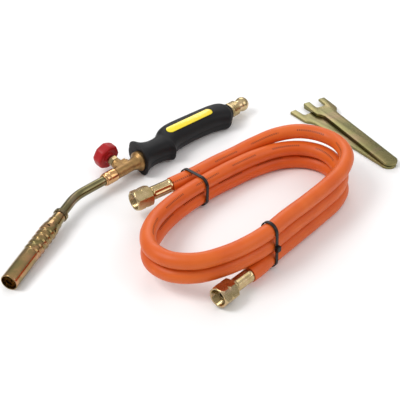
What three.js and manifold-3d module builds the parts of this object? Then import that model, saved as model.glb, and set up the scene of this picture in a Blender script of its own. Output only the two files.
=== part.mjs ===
// Roofing torch kit: a gas torch lying on its side, a coiled gas hose with a swivel nut on each
// end, and two stamped fork spanners. Millimetres, +Z up. Everything stands on the plane z = 0.
//
// The kit is laid out on a sheet whose x runs along the torch's barrel, from the burner to the
// gas inlet, and whose y = 0 is the barrel's own line. The torch is modelled in a frame of its
// own (x along the barrel, y towards the knob, z out of the labelled side) and then rolled and
// pitched into the pose in which it lies on a table.

import * as THREE from 'three';
import { mergeVertices } from 'three/addons/utils/BufferGeometryUtils.js';
import Module from 'manifold-3d';

const wasm = await Module();
wasm.setup();

// ---------------------------------------------------------------- driving dimensions

const GAP = 0.3;                      // clearance between pieces that touch
const DEG = Math.PI / 180;

// middle of the torch and the spanners on the layout sheet, which becomes the origin
const LAYOUT_MIDDLE = [8.58, -76.43];

// how the torch lies
const ROLL = 10 * DEG;                // knob side up
const PITCH = 0.65 * DEG;             // burner end up
const AXIS_HEIGHT = 14.29;            // barrel line above the floor at x = 0

// burner and its bent neck
const BEND_X = -94.5;
const BEND_ANGLE = 22 * DEG;
const NECK_FROM_BEND = 28;            // bend to the lock ring
const MOUTH_FROM_BEND = 130;          // bend to the burner's mouth
const BURNER_R = 8.3;
const BURNER_WALL = 0.9;
const GROOVE_DEPTH = 0.7;
const AIR_HOLE_R = 2;
const TUBE_R = 4.75;
const TUBE_BORE_R = 3.2;

// valve
const COLLAR_FRONT_X = -57;
const COLLAR_BACK_X = -41;
const COLLAR_R = 6.6;
const BARREL_R = 6;
const GAS_BORE_R = 2.6;
const STEM_X = -28.5;
const STEM_R = 2.3;
const BOSS_TOP = 13;
const GLAND_TOP = 19;
const KNOB_BOTTOM = 20.6;
const KNOB_TOP = 33.6;
const KNOB_R = 13.6;
const KNOB_LOBES = 8;
const KNOB_LOBE_DEPTH = 0.035;

// handle: stations along the barrel, in the torch's own frame
//   x, height above the barrel line, depth below it, half thickness, lean of the section
const HANDLE_STATIONS = [
  [-6, 22.6, 15.6, 14.2, 0.25],
  [-4, 21.6, 14.8, 14.2, 0.25],
  [0, 18, 12.2, 13.2, 0.2],
  [5, 15, 10.6, 12.4, 0.15],
  [12, 12.8, 10.2, 12, 0.06],
  [20, 12.2, 11.2, 12, 0],
  [26, 13.2, 12.8, 12, 0],
  [30, 15.2, 16.6, 12.2, 0],
  [33, 17, 13.4, 12.4, 0],
  [38, 19.2, 10.4, 12.7, 0],
  [44, 20.4, 8.5, 12.9, 0],
  [52, 20.6, 7.4, 13, 0],
  [64, 19.8, 7.4, 13, 0],
  [78, 18.6, 8, 13, 0],
  [92, 17.4, 9.2, 13, 0],
  [104, 16.2, 11.4, 13, 0.04],
  [112, 15, 14.2, 12.8, 0.08],
  [117, 13.8, 16, 12.4, 0.1],
  [121, 12, 14.6, 11.6, 0.08],
  [125, 9.2, 10.2, 9.8, 0.03],
  [127, 7.6, 7.6, 8.2, 0],
];
const SECTION_POWER = 2.6;            // 2 is an ellipse, more is squarer
const HANDLE_WALL = 2.4;
const CAVITY_FRONT_X = 5;
const CAVITY_BACK_X = 118;
const HANDLE_REAR_X = 127;
const FLANGE_R = 10.5;
const SPIGOT_R = 6;
const SPIGOT_END_X = 16;
const PIPE_R = 4;
const PIPE_BORE_R = 2.8;

// label strip on the handle's upper side
const LABEL_LENGTH = 64;
const LABEL_WIDTH = 9;
const LABEL_THICKNESS = 0.8;
const LABEL_X = 70;
const LABEL_Y = 4.6;
const LABEL_SLOPE = -3.5 * DEG;

// gas inlet: a G 3/8 left-hand male thread with a rounded seat
const INLET_THREAD_R = 8.3;
const INLET_THREAD_ROOT_R = 7.6;
const INLET_THREADS = 6;
const INLET_PITCH = 1.5;
const INLET_SHANK_R = 6.3;
const INLET_SHANK_X = 103;
const SEAT_R = 8;
const SEAT_GROOVE_R = 6.3;
const INLET_END_X = 158;

// hose and its end fittings
const HOSE_R = 7.5;
const HOSE_SIDES = 10;
const HOSE_STEPS = 80;
const NUT_ACROSS_FLATS = 19;
const NUT_LENGTH = 18;
const NUT_BORE_R = 7.8;
const NUT_SOCKET_DEPTH = 12;
const TAIL_R = 4.6;
const TAIL_BORE_R = 3;
const FERRULE_R = 6.8;
const FERRULE_LENGTH = 24;
const FERRULE_FLUTES = 8;

// cable ties
const TIE_WIDTH = 3.6;
const TIE_THICKNESS = 1.1;
const TIE_SLACK = 0.6;                // between the tie and the hose

// spanners
const SPANNER_LENGTH = 147;
const SPANNER_THICKNESS = 3;
const SPANNER_HANDLE_W = 17;
const SPANNER_HEAD_W = 28.5;
const SPANNER_SLOT_W = 12.3;
const SPANNER_SLOT_DEPTH = 15;
const SPANNER_NECK = 32;              // tip to the foot of the shoulders
const SPANNER_SHOULDER = 26;          // tip to the top of the shoulders
const SPANNER_END = [178, -187.4];    // both handles end here on the layout sheet
const LOWER_SPANNER_TURN = 80.4 * DEG;
const UPPER_SPANNER_TURN = 72.6 * DEG;

// the hose's centre line, from the first ferrule round two and a half turns to the second
const HOSE_ROUTE = [
  [-25.4, -63.3, 24], [-10.1, -66.5, 24.8], [6.4, -68.8, 25.3], [31.4, -69.5, 24.6], [57.1, -71.3, 23.4],
  [82, -77.6, 27.2], [102, -89.5, 34], [118.5, -106.5, 38.3], [127.5, -126.5, 39.1], [127.5, -148, 39.2],
  [115, -169, 39.3], [92, -181.5, 39.3], [66, -187, 39.4], [30, -190, 39.5], [-6, -191.5, 39.9],
  [-32, -193.8, 40.4], [-58, -193, 41], [-84, -187.6, 41], [-107, -175.6, 40],
  [-120.5, -156, 38.7], [-120.5, -134, 37.3], [-107, -114.5, 34.5], [-84, -99, 31],
  [-56, -89.5, 28], [-26, -85, 25.8], [5, -84.5, 24.6], [38, -86, 23.7], [70, -90.5, 23.2],
  [97, -99.5, 23], [115, -115, 23], [122, -135, 23], [117, -156, 23], [102, -174, 23.1],
  [80, -184.5, 23.3], [50, -188.5, 23.6], [10, -191, 24.3], [-32, -194, 25.2], [-58, -193.2, 25.8],
  [-84, -187.8, 25.8], [-107, -175.8, 24.6], [-120.6, -157, 23.2], [-120.8, -135.5, 21.6],
  [-108, -116, 18.8], [-85, -101.5, 15.4], [-56, -90.5, 12.3], [-26, -85, 10.3],
  [5, -84, 9.3], [38, -86.5, 8.3], [70, -91, 7.8], [97, -100, 7.7], [115, -115, 7.7],
  [122.5, -135, 7.7], [118, -156, 7.7], [103, -175, 7.7], [80, -185, 7.9], [50, -188.5, 8.3],
  [10, -191.5, 8.8], [-32, -195, 10.1], [-50, -198.1, 11], [-64, -198.5, 11.2],
];

// ---------------------------------------------------------------- materials

const metal = (color, roughness) => new THREE.MeshStandardMaterial({ color, roughness, metalness: 1 });
const plastic = (color, roughness) => new THREE.MeshStandardMaterial({ color, roughness, metalness: 0 });

const MATERIALS = {
  burnerBrass: metal(0xb08a55, 0.25),
  polishedBrass: metal(0xc79a5c, 0.2),
  forgedBrass: metal(0xa58355, 0.5),
  turnedBrass: metal(0xb7a270, 0.3),
  platedSteel: metal(0x8d8462, 0.35),
  passivatedSteel: metal(0x9a8e5a, 0.4),
  stainlessSteel: metal(0x9c9c98, 0.35),
  blackNylon: plastic(0x1e1d1f, 0.55),
  redPlastic: plastic(0xb21e25, 0.45),
  yellowLabel: plastic(0xf4e21a, 0.35),
  ptfe: plastic(0xe8e6df, 0.6),
  nitrile: plastic(0x1a1a1a, 0.7),
  orangeRubber: plastic(0xdd6a2e, 0.5),
  blackTie: plastic(0x16120f, 0.5),
};

// ---------------------------------------------------------------- solid helpers

/** Signed volume of an indexed geometry: negative when its faces point inwards. */
function signedVolume(geometry) {
  const position = geometry.attributes.position;
  const index = geometry.index.array;
  const [a, b, c] = [new THREE.Vector3(), new THREE.Vector3(), new THREE.Vector3()];
  let volume = 0;
  for (let i = 0; i < index.length; i += 3) {
    a.fromBufferAttribute(position, index[i]);
    b.fromBufferAttribute(position, index[i + 1]);
    c.fromBufferAttribute(position, index[i + 2]);
    volume += a.dot(b.cross(c)) / 6;
  }
  return volume;
}

/** Welds a geometry's vertices, drops the empty triangles and turns its faces outwards. */
function weld(geometry) {
  const bare = new THREE.BufferGeometry();
  bare.setAttribute('position', geometry.attributes.position);
  if (geometry.index) bare.setIndex(geometry.index);
  const merged = mergeVertices(bare, 1e-4);
  const source = merged.index.array;
  const kept = [];
  for (let i = 0; i < source.length; i += 3) {
    const [a, b, c] = [source[i], source[i + 1], source[i + 2]];
    if (a !== b && b !== c && c !== a) kept.push(a, b, c);
  }
  merged.setIndex(kept);
  if (signedVolume(merged) < 0) merged.setIndex(kept.reverse());
  return merged;
}

/** Turns a closed geometry into a solid that can be joined and cut. */
function solid(geometry) {
  const welded = weld(geometry);
  const vertProperties = new Float32Array(welded.attributes.position.array);
  const triVerts = new Uint32Array(welded.index.array);
  return new wasm.Manifold(new wasm.Mesh({ numProp: 3, vertProperties, triVerts }));
}

/** Turns a solid back into a geometry. */
function geometryOf(shape) {
  const mesh = shape.getMesh();
  const geometry = new THREE.BufferGeometry();
  geometry.setAttribute('position', new THREE.BufferAttribute(mesh.vertProperties.slice(), 3));
  geometry.setIndex(new THREE.BufferAttribute(mesh.triVerts.slice(), 1));
  return geometry;
}

/** Makes the named mesh of one sub-part. */
function part(name, geometry, material) {
  const welded = weld(geometry);
  welded.computeVertexNormals();
  const mesh = new THREE.Mesh(welded, material);
  mesh.name = name;
  return mesh;
}

/** A solid of revolution about the x axis from [x, radius] pairs, closed on the axis or on itself. */
function turned(profile, sides = 32) {
  const points = profile.map(([x, radius]) => new THREE.Vector2(radius, x));
  const geometry = new THREE.LatheGeometry(points, sides);
  geometry.rotateZ(-Math.PI / 2);
  return geometry;
}

/** A plain round bar along x. */
function bar(x0, x1, radius, sides = 24) {
  return turned([[x0, 0], [x0, radius], [x1, radius], [x1, 0]], sides);
}

/** A round sleeve along x from its outside profile and its bore radius. */
function sleeve(outside, bore, sides = 32) {
  const [first, last] = [outside[0], outside[outside.length - 1]];
  return turned([[first[0], bore], ...outside, [last[0], bore], [first[0], bore]], sides);
}

/** A hexagonal bar along x, measured across its flats. */
function hexBar(x0, x1, acrossFlats) {
  const geometry = new THREE.CylinderGeometry(
    acrossFlats / Math.sqrt(3), acrossFlats / Math.sqrt(3), x1 - x0, 6);
  geometry.rotateZ(-Math.PI / 2);
  geometry.translate((x0 + x1) / 2, 0, 0);
  return geometry;
}

/** A closed solid through rings of points that all have the same count. */
function loft(rings) {
  const count = rings[0].length;
  const vertices = rings.flat();
  const index = [];
  for (let ring = 0; ring < rings.length - 1; ring += 1) {
    for (let i = 0; i < count; i += 1) {
      const next = (i + 1) % count;
      const [a, b] = [ring * count + i, ring * count + next];
      index.push(a, b, b + count, a, b + count, a + count);
    }
  }
  for (const [ring, flip] of [[0, true], [rings.length - 1, false]]) {
    const middle = new THREE.Vector3();
    rings[ring].forEach((point) => middle.add(point));
    vertices.push(middle.divideScalar(count));
    for (let i = 0; i < count; i += 1) {
      const [a, b] = [ring * count + i, ring * count + ((i + 1) % count)];
      index.push(vertices.length - 1, ...(flip ? [b, a] : [a, b]));
    }
  }
  const geometry = new THREE.BufferGeometry().setFromPoints(vertices);
  geometry.setIndex(index);
  return geometry;
}

/** A tube or bar along a curve. A bore of 0 leaves it solid. */
function along(curve, radius, bore, sides, steps) {
  const section = circle(radius, sides);
  if (bore > 0) section.holes.push(circle(bore, sides));
  return new THREE.ExtrudeGeometry(section, { extrudePath: curve, steps, bevelEnabled: false });
}

/** A regular polygon that stands for a circle. */
function circle(radius, sides) {
  const points = [];
  for (let i = 0; i < sides; i += 1) {
    const angle = (2 * Math.PI * i) / sides;
    points.push(new THREE.Vector2(radius * Math.cos(angle), radius * Math.sin(angle)));
  }
  return new THREE.Shape(points);
}

// ---------------------------------------------------------------- burner

/** The burner's frame: x runs from the mouth (0) up its axis towards the bend. */
function onBurner(mesh) {
  mesh.rotation.z = BEND_ANGLE;
  mesh.position.set(
    BEND_X - MOUTH_FROM_BEND * Math.cos(BEND_ANGLE), -MOUTH_FROM_BEND * Math.sin(BEND_ANGLE), 0);
  return mesh;
}

const RING_X = MOUTH_FROM_BEND - NECK_FROM_BEND;       // the lock ring's back face
const CONE_FRONT = 78;
const CONE_BACK = 84;
const NECK_R = 6.2;
const FIRST_GROOVE = 41;
const GROOVE_STEP = 7;
const GROOVES = 5;
const AIR_HOLE_X = 73.5;
const AIR_HOLES = 6;

function burnerTube() {
  const inside = BURNER_R - BURNER_WALL;
  const outside = [[0, BURNER_R - 0.3], [0.4, BURNER_R]];
  for (let i = 0; i < GROOVES; i += 1) {
    const x = FIRST_GROOVE + i * GROOVE_STEP;
    outside.push([x - 1.2, BURNER_R], [x, BURNER_R - GROOVE_DEPTH], [x + 1.2, BURNER_R]);
  }
  outside.push([CONE_FRONT, BURNER_R], [CONE_BACK, NECK_R + 0.9], [CONE_BACK + 4, NECK_R + 0.9]);
  const back = NECK_R + GAP;
  const profile = [...outside, [CONE_BACK + 4, back], [CONE_BACK, back]];
  profile.push([CONE_FRONT, inside], [0, inside], outside[0]);
  let shape = solid(turned(profile, 28));
  for (let i = 0; i < AIR_HOLES / 2; i += 1) {
    const drill = bar(-BURNER_R - 2, BURNER_R + 2, AIR_HOLE_R, 10);
    drill.rotateY(Math.PI / 2);
    drill.translate(AIR_HOLE_X, 0, 0);
    drill.rotateX((i * 2 * Math.PI) / AIR_HOLES);
    shape = shape.subtract(solid(drill));
  }
  return onBurner(part('burner_tube', geometryOf(shape), MATERIALS.burnerBrass));
}

/** A pressed ring with scalloped edges that keeps the flame at the mouth. */
function flameHolder() {
  const scallops = 10;
  const outer = BURNER_R - BURNER_WALL - GAP;
  let shape = solid(sleeve([[9, outer], [17, outer]], 3.2, 30));
  for (let i = 0; i < scallops; i += 1) {
    const angle = (2 * Math.PI * i) / scallops;
    const cutter = bar(8, 18, 1.1, 8);
    cutter.translate(0, (outer - 0.3) * Math.cos(angle), (outer - 0.3) * Math.sin(angle));
    shape = shape.subtract(solid(cutter));
  }
  return onBurner(part('flame_holder', geometryOf(shape), MATERIALS.turnedBrass));
}

/** The smooth brass jet holder that the burner slides onto. */
function burnerNeck() {
  const outside = [[80, NECK_R], [RING_X - 4.4, NECK_R], [RING_X - 4.4, NECK_R - 1]];
  const profile = [[80, 3.2], ...outside, [RING_X - GAP, NECK_R - 1], [RING_X - GAP, TUBE_R + GAP]];
  profile.push([90, TUBE_R + GAP], [90, 3.2], [80, 3.2]);
  return onBurner(part('burner_neck', turned(profile, 20), MATERIALS.burnerBrass));
}

/** The gas jet pressed into the holder: a thin hole at its nose. */
function jetNozzle() {
  const outside = [[74, 1.6], [77, 2.9], [89, 2.9]];
  const profile = [[74, 0.5], ...outside, [89, 1.8], [76.5, 1.8], [74.8, 0.5], [74, 0.5]];
  return onBurner(part('jet_nozzle', turned(profile, 14), MATERIALS.turnedBrass));
}

/** Notched ring that locks the holder on the neck tube. */
function lockRing() {
  const notches = 12;
  const outer = NECK_R + 1;
  let shape = solid(sleeve([[RING_X - 4, outer], [RING_X, outer]], NECK_R - 1 + GAP, 24));
  for (let i = 0; i < notches; i += 1) {
    const angle = (2 * Math.PI * i) / notches;
    const cutter = new THREE.BoxGeometry(8, 1, 1.2);
    cutter.translate(RING_X - 2, outer, 0);
    cutter.rotateX(angle);
    shape = shape.subtract(solid(cutter));
  }
  return onBurner(part('lock_ring', geometryOf(shape), MATERIALS.forgedBrass));
}

/** Bent steel tube from the valve's collar to the burner. */
function neckTube() {
  const direction = new THREE.Vector3(-Math.cos(BEND_ANGLE), -Math.sin(BEND_ANGLE), 0);
  const corner = new THREE.Vector3(BEND_X, 0, 0);
  const bendReach = 11;
  const start = new THREE.Vector3(COLLAR_FRONT_X + 9, 0, 0);
  const bendStart = corner.clone().add(new THREE.Vector3(bendReach, 0, 0));
  const bendEnd = corner.clone().addScaledVector(direction, bendReach);
  const end = corner.clone().addScaledVector(direction, NECK_FROM_BEND + 10);
  const path = new THREE.CurvePath();
  path.add(new THREE.LineCurve3(start, bendStart));
  path.add(new THREE.QuadraticBezierCurve3(bendStart, corner, bendEnd));
  path.add(new THREE.LineCurve3(bendEnd, end));
  return part('neck_tube', along(path, TUBE_R, TUBE_BORE_R, 14, 16), MATERIALS.platedSteel);
}

// ---------------------------------------------------------------- valve

function neckCollar() {
  const outside = [
    [COLLAR_FRONT_X + 1.6, COLLAR_R - 0.8], [COLLAR_FRONT_X + 2.4, COLLAR_R],
    [COLLAR_BACK_X - 0.8, COLLAR_R], [COLLAR_BACK_X, COLLAR_R - 0.6],
  ];
  return part('neck_collar', sleeve(outside, TUBE_R + GAP, 22), MATERIALS.polishedBrass);
}

/** Sealing ring at the front of the collar. */
function collarRing() {
  const x = COLLAR_FRONT_X;
  const outside = [[x, COLLAR_R - 1.2], [x + 0.5, COLLAR_R - 0.6], [x + 1.3, COLLAR_R - 0.6]];
  return part('collar_ring', sleeve(outside, TUBE_R + GAP, 18), MATERIALS.nitrile);
}

/** Turns a shape made along x so that it stands along the valve stem. */
function onStem(geometry) {
  geometry.rotateZ(Math.PI / 2);
  geometry.translate(STEM_X, 0, 0);
  return geometry;
}

function valveBody() {
  const front = COLLAR_BACK_X + GAP;
  const barrel = turned([
    [front, 0], [front, BARREL_R], [-18, BARREL_R], [-12, BARREL_R + 1.8], [-9.4, FLANGE_R],
    [-5.2, FLANGE_R], [-5.2, SPIGOT_R], [SPIGOT_END_X, SPIGOT_R], [SPIGOT_END_X, 0],
  ], 24);
  const block = new THREE.BoxGeometry(15, 8.4, 11);
  block.translate(STEM_X, 4.2, 0);
  const ear = new THREE.BoxGeometry(4, 5.4, 8);
  ear.translate(STEM_X + 8.2, 4.7, 0);
  const boss = onStem(bar(0, BOSS_TOP, 5.6, 24));
  let shape = solid(barrel).add(solid(block)).add(solid(ear)).add(solid(boss));
  shape = shape.subtract(solid(bar(front - 1, SPIGOT_END_X - 9, GAS_BORE_R, 16)));
  shape = shape.subtract(solid(bar(SPIGOT_END_X - 9, SPIGOT_END_X + 1, PIPE_R + GAP, 20)));
  shape = shape.subtract(solid(onStem(bar(0, BOSS_TOP + 1, STEM_R + GAP, 16))));
  shape = shape.subtract(solid(onStem(bar(9.4, BOSS_TOP + 1, 4.4, 20))));
  return part('valve_body', geometryOf(shape), MATERIALS.forgedBrass);
}

function glandNut() {
  const head = solid(hexBar(BOSS_TOP + GAP, GLAND_TOP, 10));
  const chamfer = solid(turned([
    [BOSS_TOP, 0], [BOSS_TOP, 6], [GLAND_TOP - 1, 5.8], [GLAND_TOP, 4.8], [GLAND_TOP, 0],
  ], 24));
  let shape = head.intersect(chamfer).add(solid(bar(BOSS_TOP - 0.8, BOSS_TOP + 1, 4.1, 20)));
  shape = shape.subtract(solid(bar(0, GLAND_TOP + 1, STEM_R + GAP, 16)));
  return part('gland_nut', onStem(geometryOf(shape)), MATERIALS.turnedBrass);
}

function stemPacking() {
  const top = BOSS_TOP - 0.8 - GAP;
  const ring = sleeve([[9.4 + GAP, 4.1], [top, 4.1]], STEM_R + GAP, 20);
  return part('stem_packing', onStem(ring), MATERIALS.ptfe);
}

/** Needle at the foot, plain shaft, and a blind screw hole in its top. */
function valveStem() {
  const top = KNOB_TOP - 5;
  const profile = [[1.2, 0], [4, STEM_R - 0.9], [4.6, STEM_R], [top, STEM_R], [top, 1.4]];
  profile.push([top - 6, 1.4], [top - 6, 0]);
  return part('valve_stem', onStem(turned(profile, 16)), MATERIALS.stainlessSteel);
}

/** One ring of the knob's lobed outline at height x. */
function knobRing(x, radius) {
  const sides = 40;
  const ring = [];
  for (let i = 0; i < sides; i += 1) {
    const angle = (2 * Math.PI * i) / sides;
    const r = radius * (1 + KNOB_LOBE_DEPTH * (Math.cos(KNOB_LOBES * angle) - 1) / 2);
    ring.push(new THREE.Vector3(x, r * Math.cos(angle), r * Math.sin(angle)));
  }
  return ring;
}

function controlKnob() {
  const body = loft([
    knobRing(KNOB_BOTTOM + 0.9, KNOB_R - 2.2), knobRing(KNOB_BOTTOM + 1.6, KNOB_R - 0.7),
    knobRing(KNOB_BOTTOM + 3, KNOB_R), knobRing(KNOB_TOP - 3, KNOB_R),
    knobRing(KNOB_TOP - 1, KNOB_R - 1), knobRing(KNOB_TOP, KNOB_R - 3),
  ]);
  let shape = solid(body).add(solid(bar(KNOB_BOTTOM, KNOB_BOTTOM + 2, 5.4, 24)));
  shape = shape.subtract(solid(bar(KNOB_BOTTOM - 1, KNOB_TOP - 5 + GAP, STEM_R + 0.3, 16)));
  shape = shape.subtract(solid(bar(KNOB_TOP - 6, KNOB_TOP + 1, 1.6, 12)));
  shape = shape.subtract(solid(bar(KNOB_TOP - 2, KNOB_TOP + 1, 3.4, 20)));
  return part('control_knob', onStem(geometryOf(shape)), MATERIALS.redPlastic);
}

function knobScrew() {
  const seat = KNOB_TOP - 2 + GAP;
  const profile = [[KNOB_TOP - 9, 0], [KNOB_TOP - 9, 1.1], [seat, 1.1], [seat, 3]];
  profile.push([KNOB_TOP - 0.6, 3], [KNOB_TOP - 0.1, 2.2], [KNOB_TOP - 0.1, 0]);
  const slot = new THREE.BoxGeometry(1, 7, 0.8);
  slot.translate(KNOB_TOP - 0.3, 0, 0);
  const shape = solid(turned(profile, 16)).subtract(solid(slot));
  return part('knob_screw', onStem(geometryOf(shape)), MATERIALS.stainlessSteel);
}

// ---------------------------------------------------------------- handle

/** One rounded section of the handle, as a ring of points. A wall of 0 gives the outside. */
function handleRing([x, above, below, half, lean], wall) {
  const sides = 24;
  const middle = (above - below) / 2;
  const [height, width] = [(above + below) / 2 - wall, half - wall];
  const ring = [];
  for (let i = 0; i < sides; i += 1) {
    const angle = (2 * Math.PI * (i + 0.5)) / sides;
    const [c, s] = [Math.cos(angle), Math.sin(angle)];
    const y = middle + height * Math.sign(c) * Math.abs(c) ** (2 / SECTION_POWER);
    const z = width * Math.sign(s) * Math.abs(s) ** (2 / SECTION_POWER);
    ring.push(new THREE.Vector3(x + lean * y, y, z));
  }
  return ring;
}

/** The whole handle as one hollow moulding, before it is split along its seam. */
function handleSolid() {
  const outside = solid(loft(HANDLE_STATIONS.map((station) => handleRing(station, 0))));
  const inner = HANDLE_STATIONS.filter(([x]) => x >= CAVITY_FRONT_X && x <= CAVITY_BACK_X);
  let shape = outside.subtract(solid(loft(inner.map((s) => handleRing([...s.slice(0, 4), 0], HANDLE_WALL)))));
  shape = shape.subtract(solid(bar(-20, -5.2 + GAP, FLANGE_R + GAP, 24)));
  shape = shape.subtract(solid(bar(-8, CAVITY_FRONT_X + 1, SPIGOT_R + GAP, 24)));
  return shape.subtract(solid(bar(CAVITY_BACK_X - 4, HANDLE_REAR_X + 1, INLET_SHANK_R + GAP, 24)));
}

/** The label's outline as a bar with round ends, grown by a margin. */
function labelGeometry(margin, z0, z1) {
  const radius = LABEL_WIDTH / 2 + margin;
  const reach = LABEL_LENGTH / 2 - LABEL_WIDTH / 2;
  const outline = new THREE.Shape();
  outline.absarc(reach, 0, radius, -Math.PI / 2, Math.PI / 2, false);
  outline.absarc(-reach, 0, radius, Math.PI / 2, (3 * Math.PI) / 2, false);
  const options = { depth: z1 - z0, bevelEnabled: false, curveSegments: 8 };
  const geometry = new THREE.ExtrudeGeometry(outline, options);
  geometry.rotateZ(LABEL_SLOPE);
  geometry.translate(LABEL_X, LABEL_Y, z0);
  return geometry;
}

const LABEL_FLOOR_Z = 12.1;

function handleHalves() {
  const whole = handleSolid();
  const cutter = new THREE.BoxGeometry(200, 80, 40);
  cutter.translate(60, 0, 20 + GAP / 2);
  const upperHalf = solid(cutter);
  const lowerHalf = solid(cutter.clone().translate(0, 0, -40 - GAP));
  const recess = solid(labelGeometry(GAP, LABEL_FLOOR_Z, LABEL_FLOOR_Z + 10));
  return [
    part('handle_upper', geometryOf(whole.intersect(upperHalf).subtract(recess)), MATERIALS.blackNylon),
    part('handle_lower', geometryOf(whole.intersect(lowerHalf)), MATERIALS.blackNylon),
  ];
}

function labelStrip() {
  const z0 = LABEL_FLOOR_Z + GAP;
  return part('label_strip', labelGeometry(0, z0, z0 + LABEL_THICKNESS), MATERIALS.yellowLabel);
}

function gasPipe() {
  const outside = [[SPIGOT_END_X - 9 + GAP, PIPE_R], [INLET_SHANK_X + 8 - GAP, PIPE_R]];
  return part('gas_pipe', sleeve(outside, PIPE_BORE_R, 20), MATERIALS.platedSteel);
}

function rearWasher() {
  const x = HANDLE_REAR_X + GAP;
  return part('rear_washer', sleeve([[x, 9], [x + 1.2, 9]], INLET_SHANK_R + GAP, 20), MATERIALS.platedSteel);
}

function inletConnector() {
  const hexFront = HANDLE_REAR_X + GAP + 1.2 + GAP;
  const hexBack = hexFront + 3;
  const outside = [[INLET_SHANK_X, INLET_SHANK_R], [hexFront, INLET_SHANK_R], [hexFront, INLET_THREAD_ROOT_R]];
  const threadStart = hexBack + 0.6;
  for (let i = 0; i < INLET_THREADS; i += 1) {
    const x = threadStart + i * INLET_PITCH;
    outside.push([x, INLET_THREAD_ROOT_R], [x + INLET_PITCH / 2, INLET_THREAD_R]);
  }
  const threadEnd = threadStart + INLET_THREADS * INLET_PITCH;
  outside.push([threadEnd, INLET_THREAD_ROOT_R], [threadEnd, SEAT_GROOVE_R]);
  const seatMiddle = INLET_END_X - SEAT_R + 1.4;
  const steps = 7;
  const startAngle = Math.PI - Math.asin(SEAT_GROOVE_R / SEAT_R);
  const endAngle = Math.acos((INLET_END_X - seatMiddle) / SEAT_R);
  for (let i = 0; i <= steps; i += 1) {
    const angle = startAngle + ((endAngle - startAngle) * i) / steps;
    outside.push([seatMiddle + SEAT_R * Math.cos(angle), SEAT_R * Math.sin(angle)]);
  }
  const bore = [[INLET_END_X, 2.5], [INLET_SHANK_X + 8, 2.5], [INLET_SHANK_X + 8, PIPE_R + GAP]];
  const profile = [[INLET_SHANK_X, PIPE_R + GAP], ...outside, ...bore, [INLET_SHANK_X, PIPE_R + GAP]];
  const ring = solid(hexBar(hexFront, hexBack, 16)).subtract(solid(bar(hexFront - 1, hexBack + 1, 7)));
  const shape = solid(turned(profile, 22)).add(ring);
  return part('inlet_connector', geometryOf(shape), MATERIALS.turnedBrass);
}

function buildTorch() {
  const torch = new THREE.Group();
  torch.add(burnerTube(), flameHolder(), burnerNeck(), jetNozzle(), lockRing(), neckTube());
  torch.add(neckCollar(), collarRing(), valveBody(), glandNut(), stemPacking(), valveStem());
  torch.add(controlKnob(), knobScrew(), ...handleHalves(), labelStrip());
  torch.add(gasPipe(), rearWasher(), inletConnector());
  torch.rotation.order = 'ZYX';
  torch.rotation.set(ROLL, PITCH, 0);
  torch.position.set(0, 0, AXIS_HEIGHT);
  return torch;
}

// ---------------------------------------------------------------- hose set

/** A group whose x axis runs from the hose's end out through its fitting. */
function fittingFrame(end, towards) {
  const frame = new THREE.Group();
  frame.position.copy(end);
  frame.quaternion.setFromUnitVectors(new THREE.Vector3(1, 0, 0), towards);
  return frame;
}

function ferrule(name) {
  const [x0, x1] = [GAP, FERRULE_LENGTH];
  const outside = [[x0, FERRULE_R], [x1 - 1.5, FERRULE_R], [x1, FERRULE_R - 1.2]];
  let shape = solid(sleeve(outside, TAIL_R + GAP, 24));
  for (let i = 0; i < FERRULE_FLUTES; i += 1) {
    const angle = (2 * Math.PI * i) / FERRULE_FLUTES;
    const flute = bar(x0 + 2.5, x1 - 2.5, 1.4, 8);
    flute.translate(0, (FERRULE_R + 0.8) * Math.cos(angle), (FERRULE_R + 0.8) * Math.sin(angle));
    shape = shape.subtract(solid(flute));
  }
  return part(name, geometryOf(shape), MATERIALS.turnedBrass);
}

/** Hose tail: a bored stem with the round seat that the nut pulls on. */
function hoseTail(name) {
  const nutBack = FERRULE_LENGTH + 1;
  const wall = nutBack + NUT_LENGTH - NUT_SOCKET_DEPTH;
  const outside = [
    [GAP, TAIL_R], [wall + GAP, TAIL_R], [wall + 1.4, 6.6], [wall + 3.4, 6.6], [wall + 6.4, 4.4],
  ];
  return part(name, sleeve(outside, TAIL_BORE_R, 18), MATERIALS.turnedBrass);
}

function swivelNut(name) {
  const x0 = FERRULE_LENGTH + 1;
  const x1 = x0 + NUT_LENGTH;
  const middle = (x0 + x1) / 2;
  const corner = NUT_ACROSS_FLATS / Math.sqrt(3);
  const chamfer = turned([
    [x0, 0], [x0, corner - 1.3], [x0 + 1.2, corner + 0.1], [middle - 1.6, corner + 0.1],
    [middle, corner - 1], [middle + 1.6, corner + 0.1], [x1 - 2, corner + 0.1],
    [x1, corner - 1.9], [x1, 0],
  ], 24);
  let shape = solid(hexBar(x0, x1, NUT_ACROSS_FLATS)).intersect(solid(chamfer));
  shape = shape.subtract(solid(bar(x0 - 1, x1 + 1, TAIL_R + GAP, 24)));
  shape = shape.subtract(solid(bar(x1 - NUT_SOCKET_DEPTH, x1 + 1, NUT_BORE_R, 24)));
  return part(name, geometryOf(shape), MATERIALS.turnedBrass);
}

function buildFitting(letter, end, towards) {
  const frame = fittingFrame(end, towards);
  frame.add(ferrule(`ferrule_${letter}`), hoseTail(`hose_tail_${letter}`));
  frame.add(swivelNut(`swivel_nut_${letter}`));
  return frame;
}

/** Outline of a band pulled round circles of one radius, whose middles are given in order. */
function bandOutline(middles, radius) {
  const points = [];
  const steps = 6;
  middles.forEach((middle, i) => {
    const before = middles[(i + middles.length - 1) % middles.length];
    const after = middles[(i + 1) % middles.length];
    const into = Math.atan2(middle[1] - before[1], middle[0] - before[0]) - Math.PI / 2;
    let out = Math.atan2(after[1] - middle[1], after[0] - middle[0]) - Math.PI / 2;
    while (out < into - 1e-6) out += 2 * Math.PI;
    for (let k = 0; k <= steps; k += 1) {
      const angle = into + ((out - into) * k) / steps;
      points.push(new THREE.Vector2(
        middle[0] + radius * Math.cos(angle), middle[1] + radius * Math.sin(angle)));
    }
  });
  return points;
}

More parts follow.
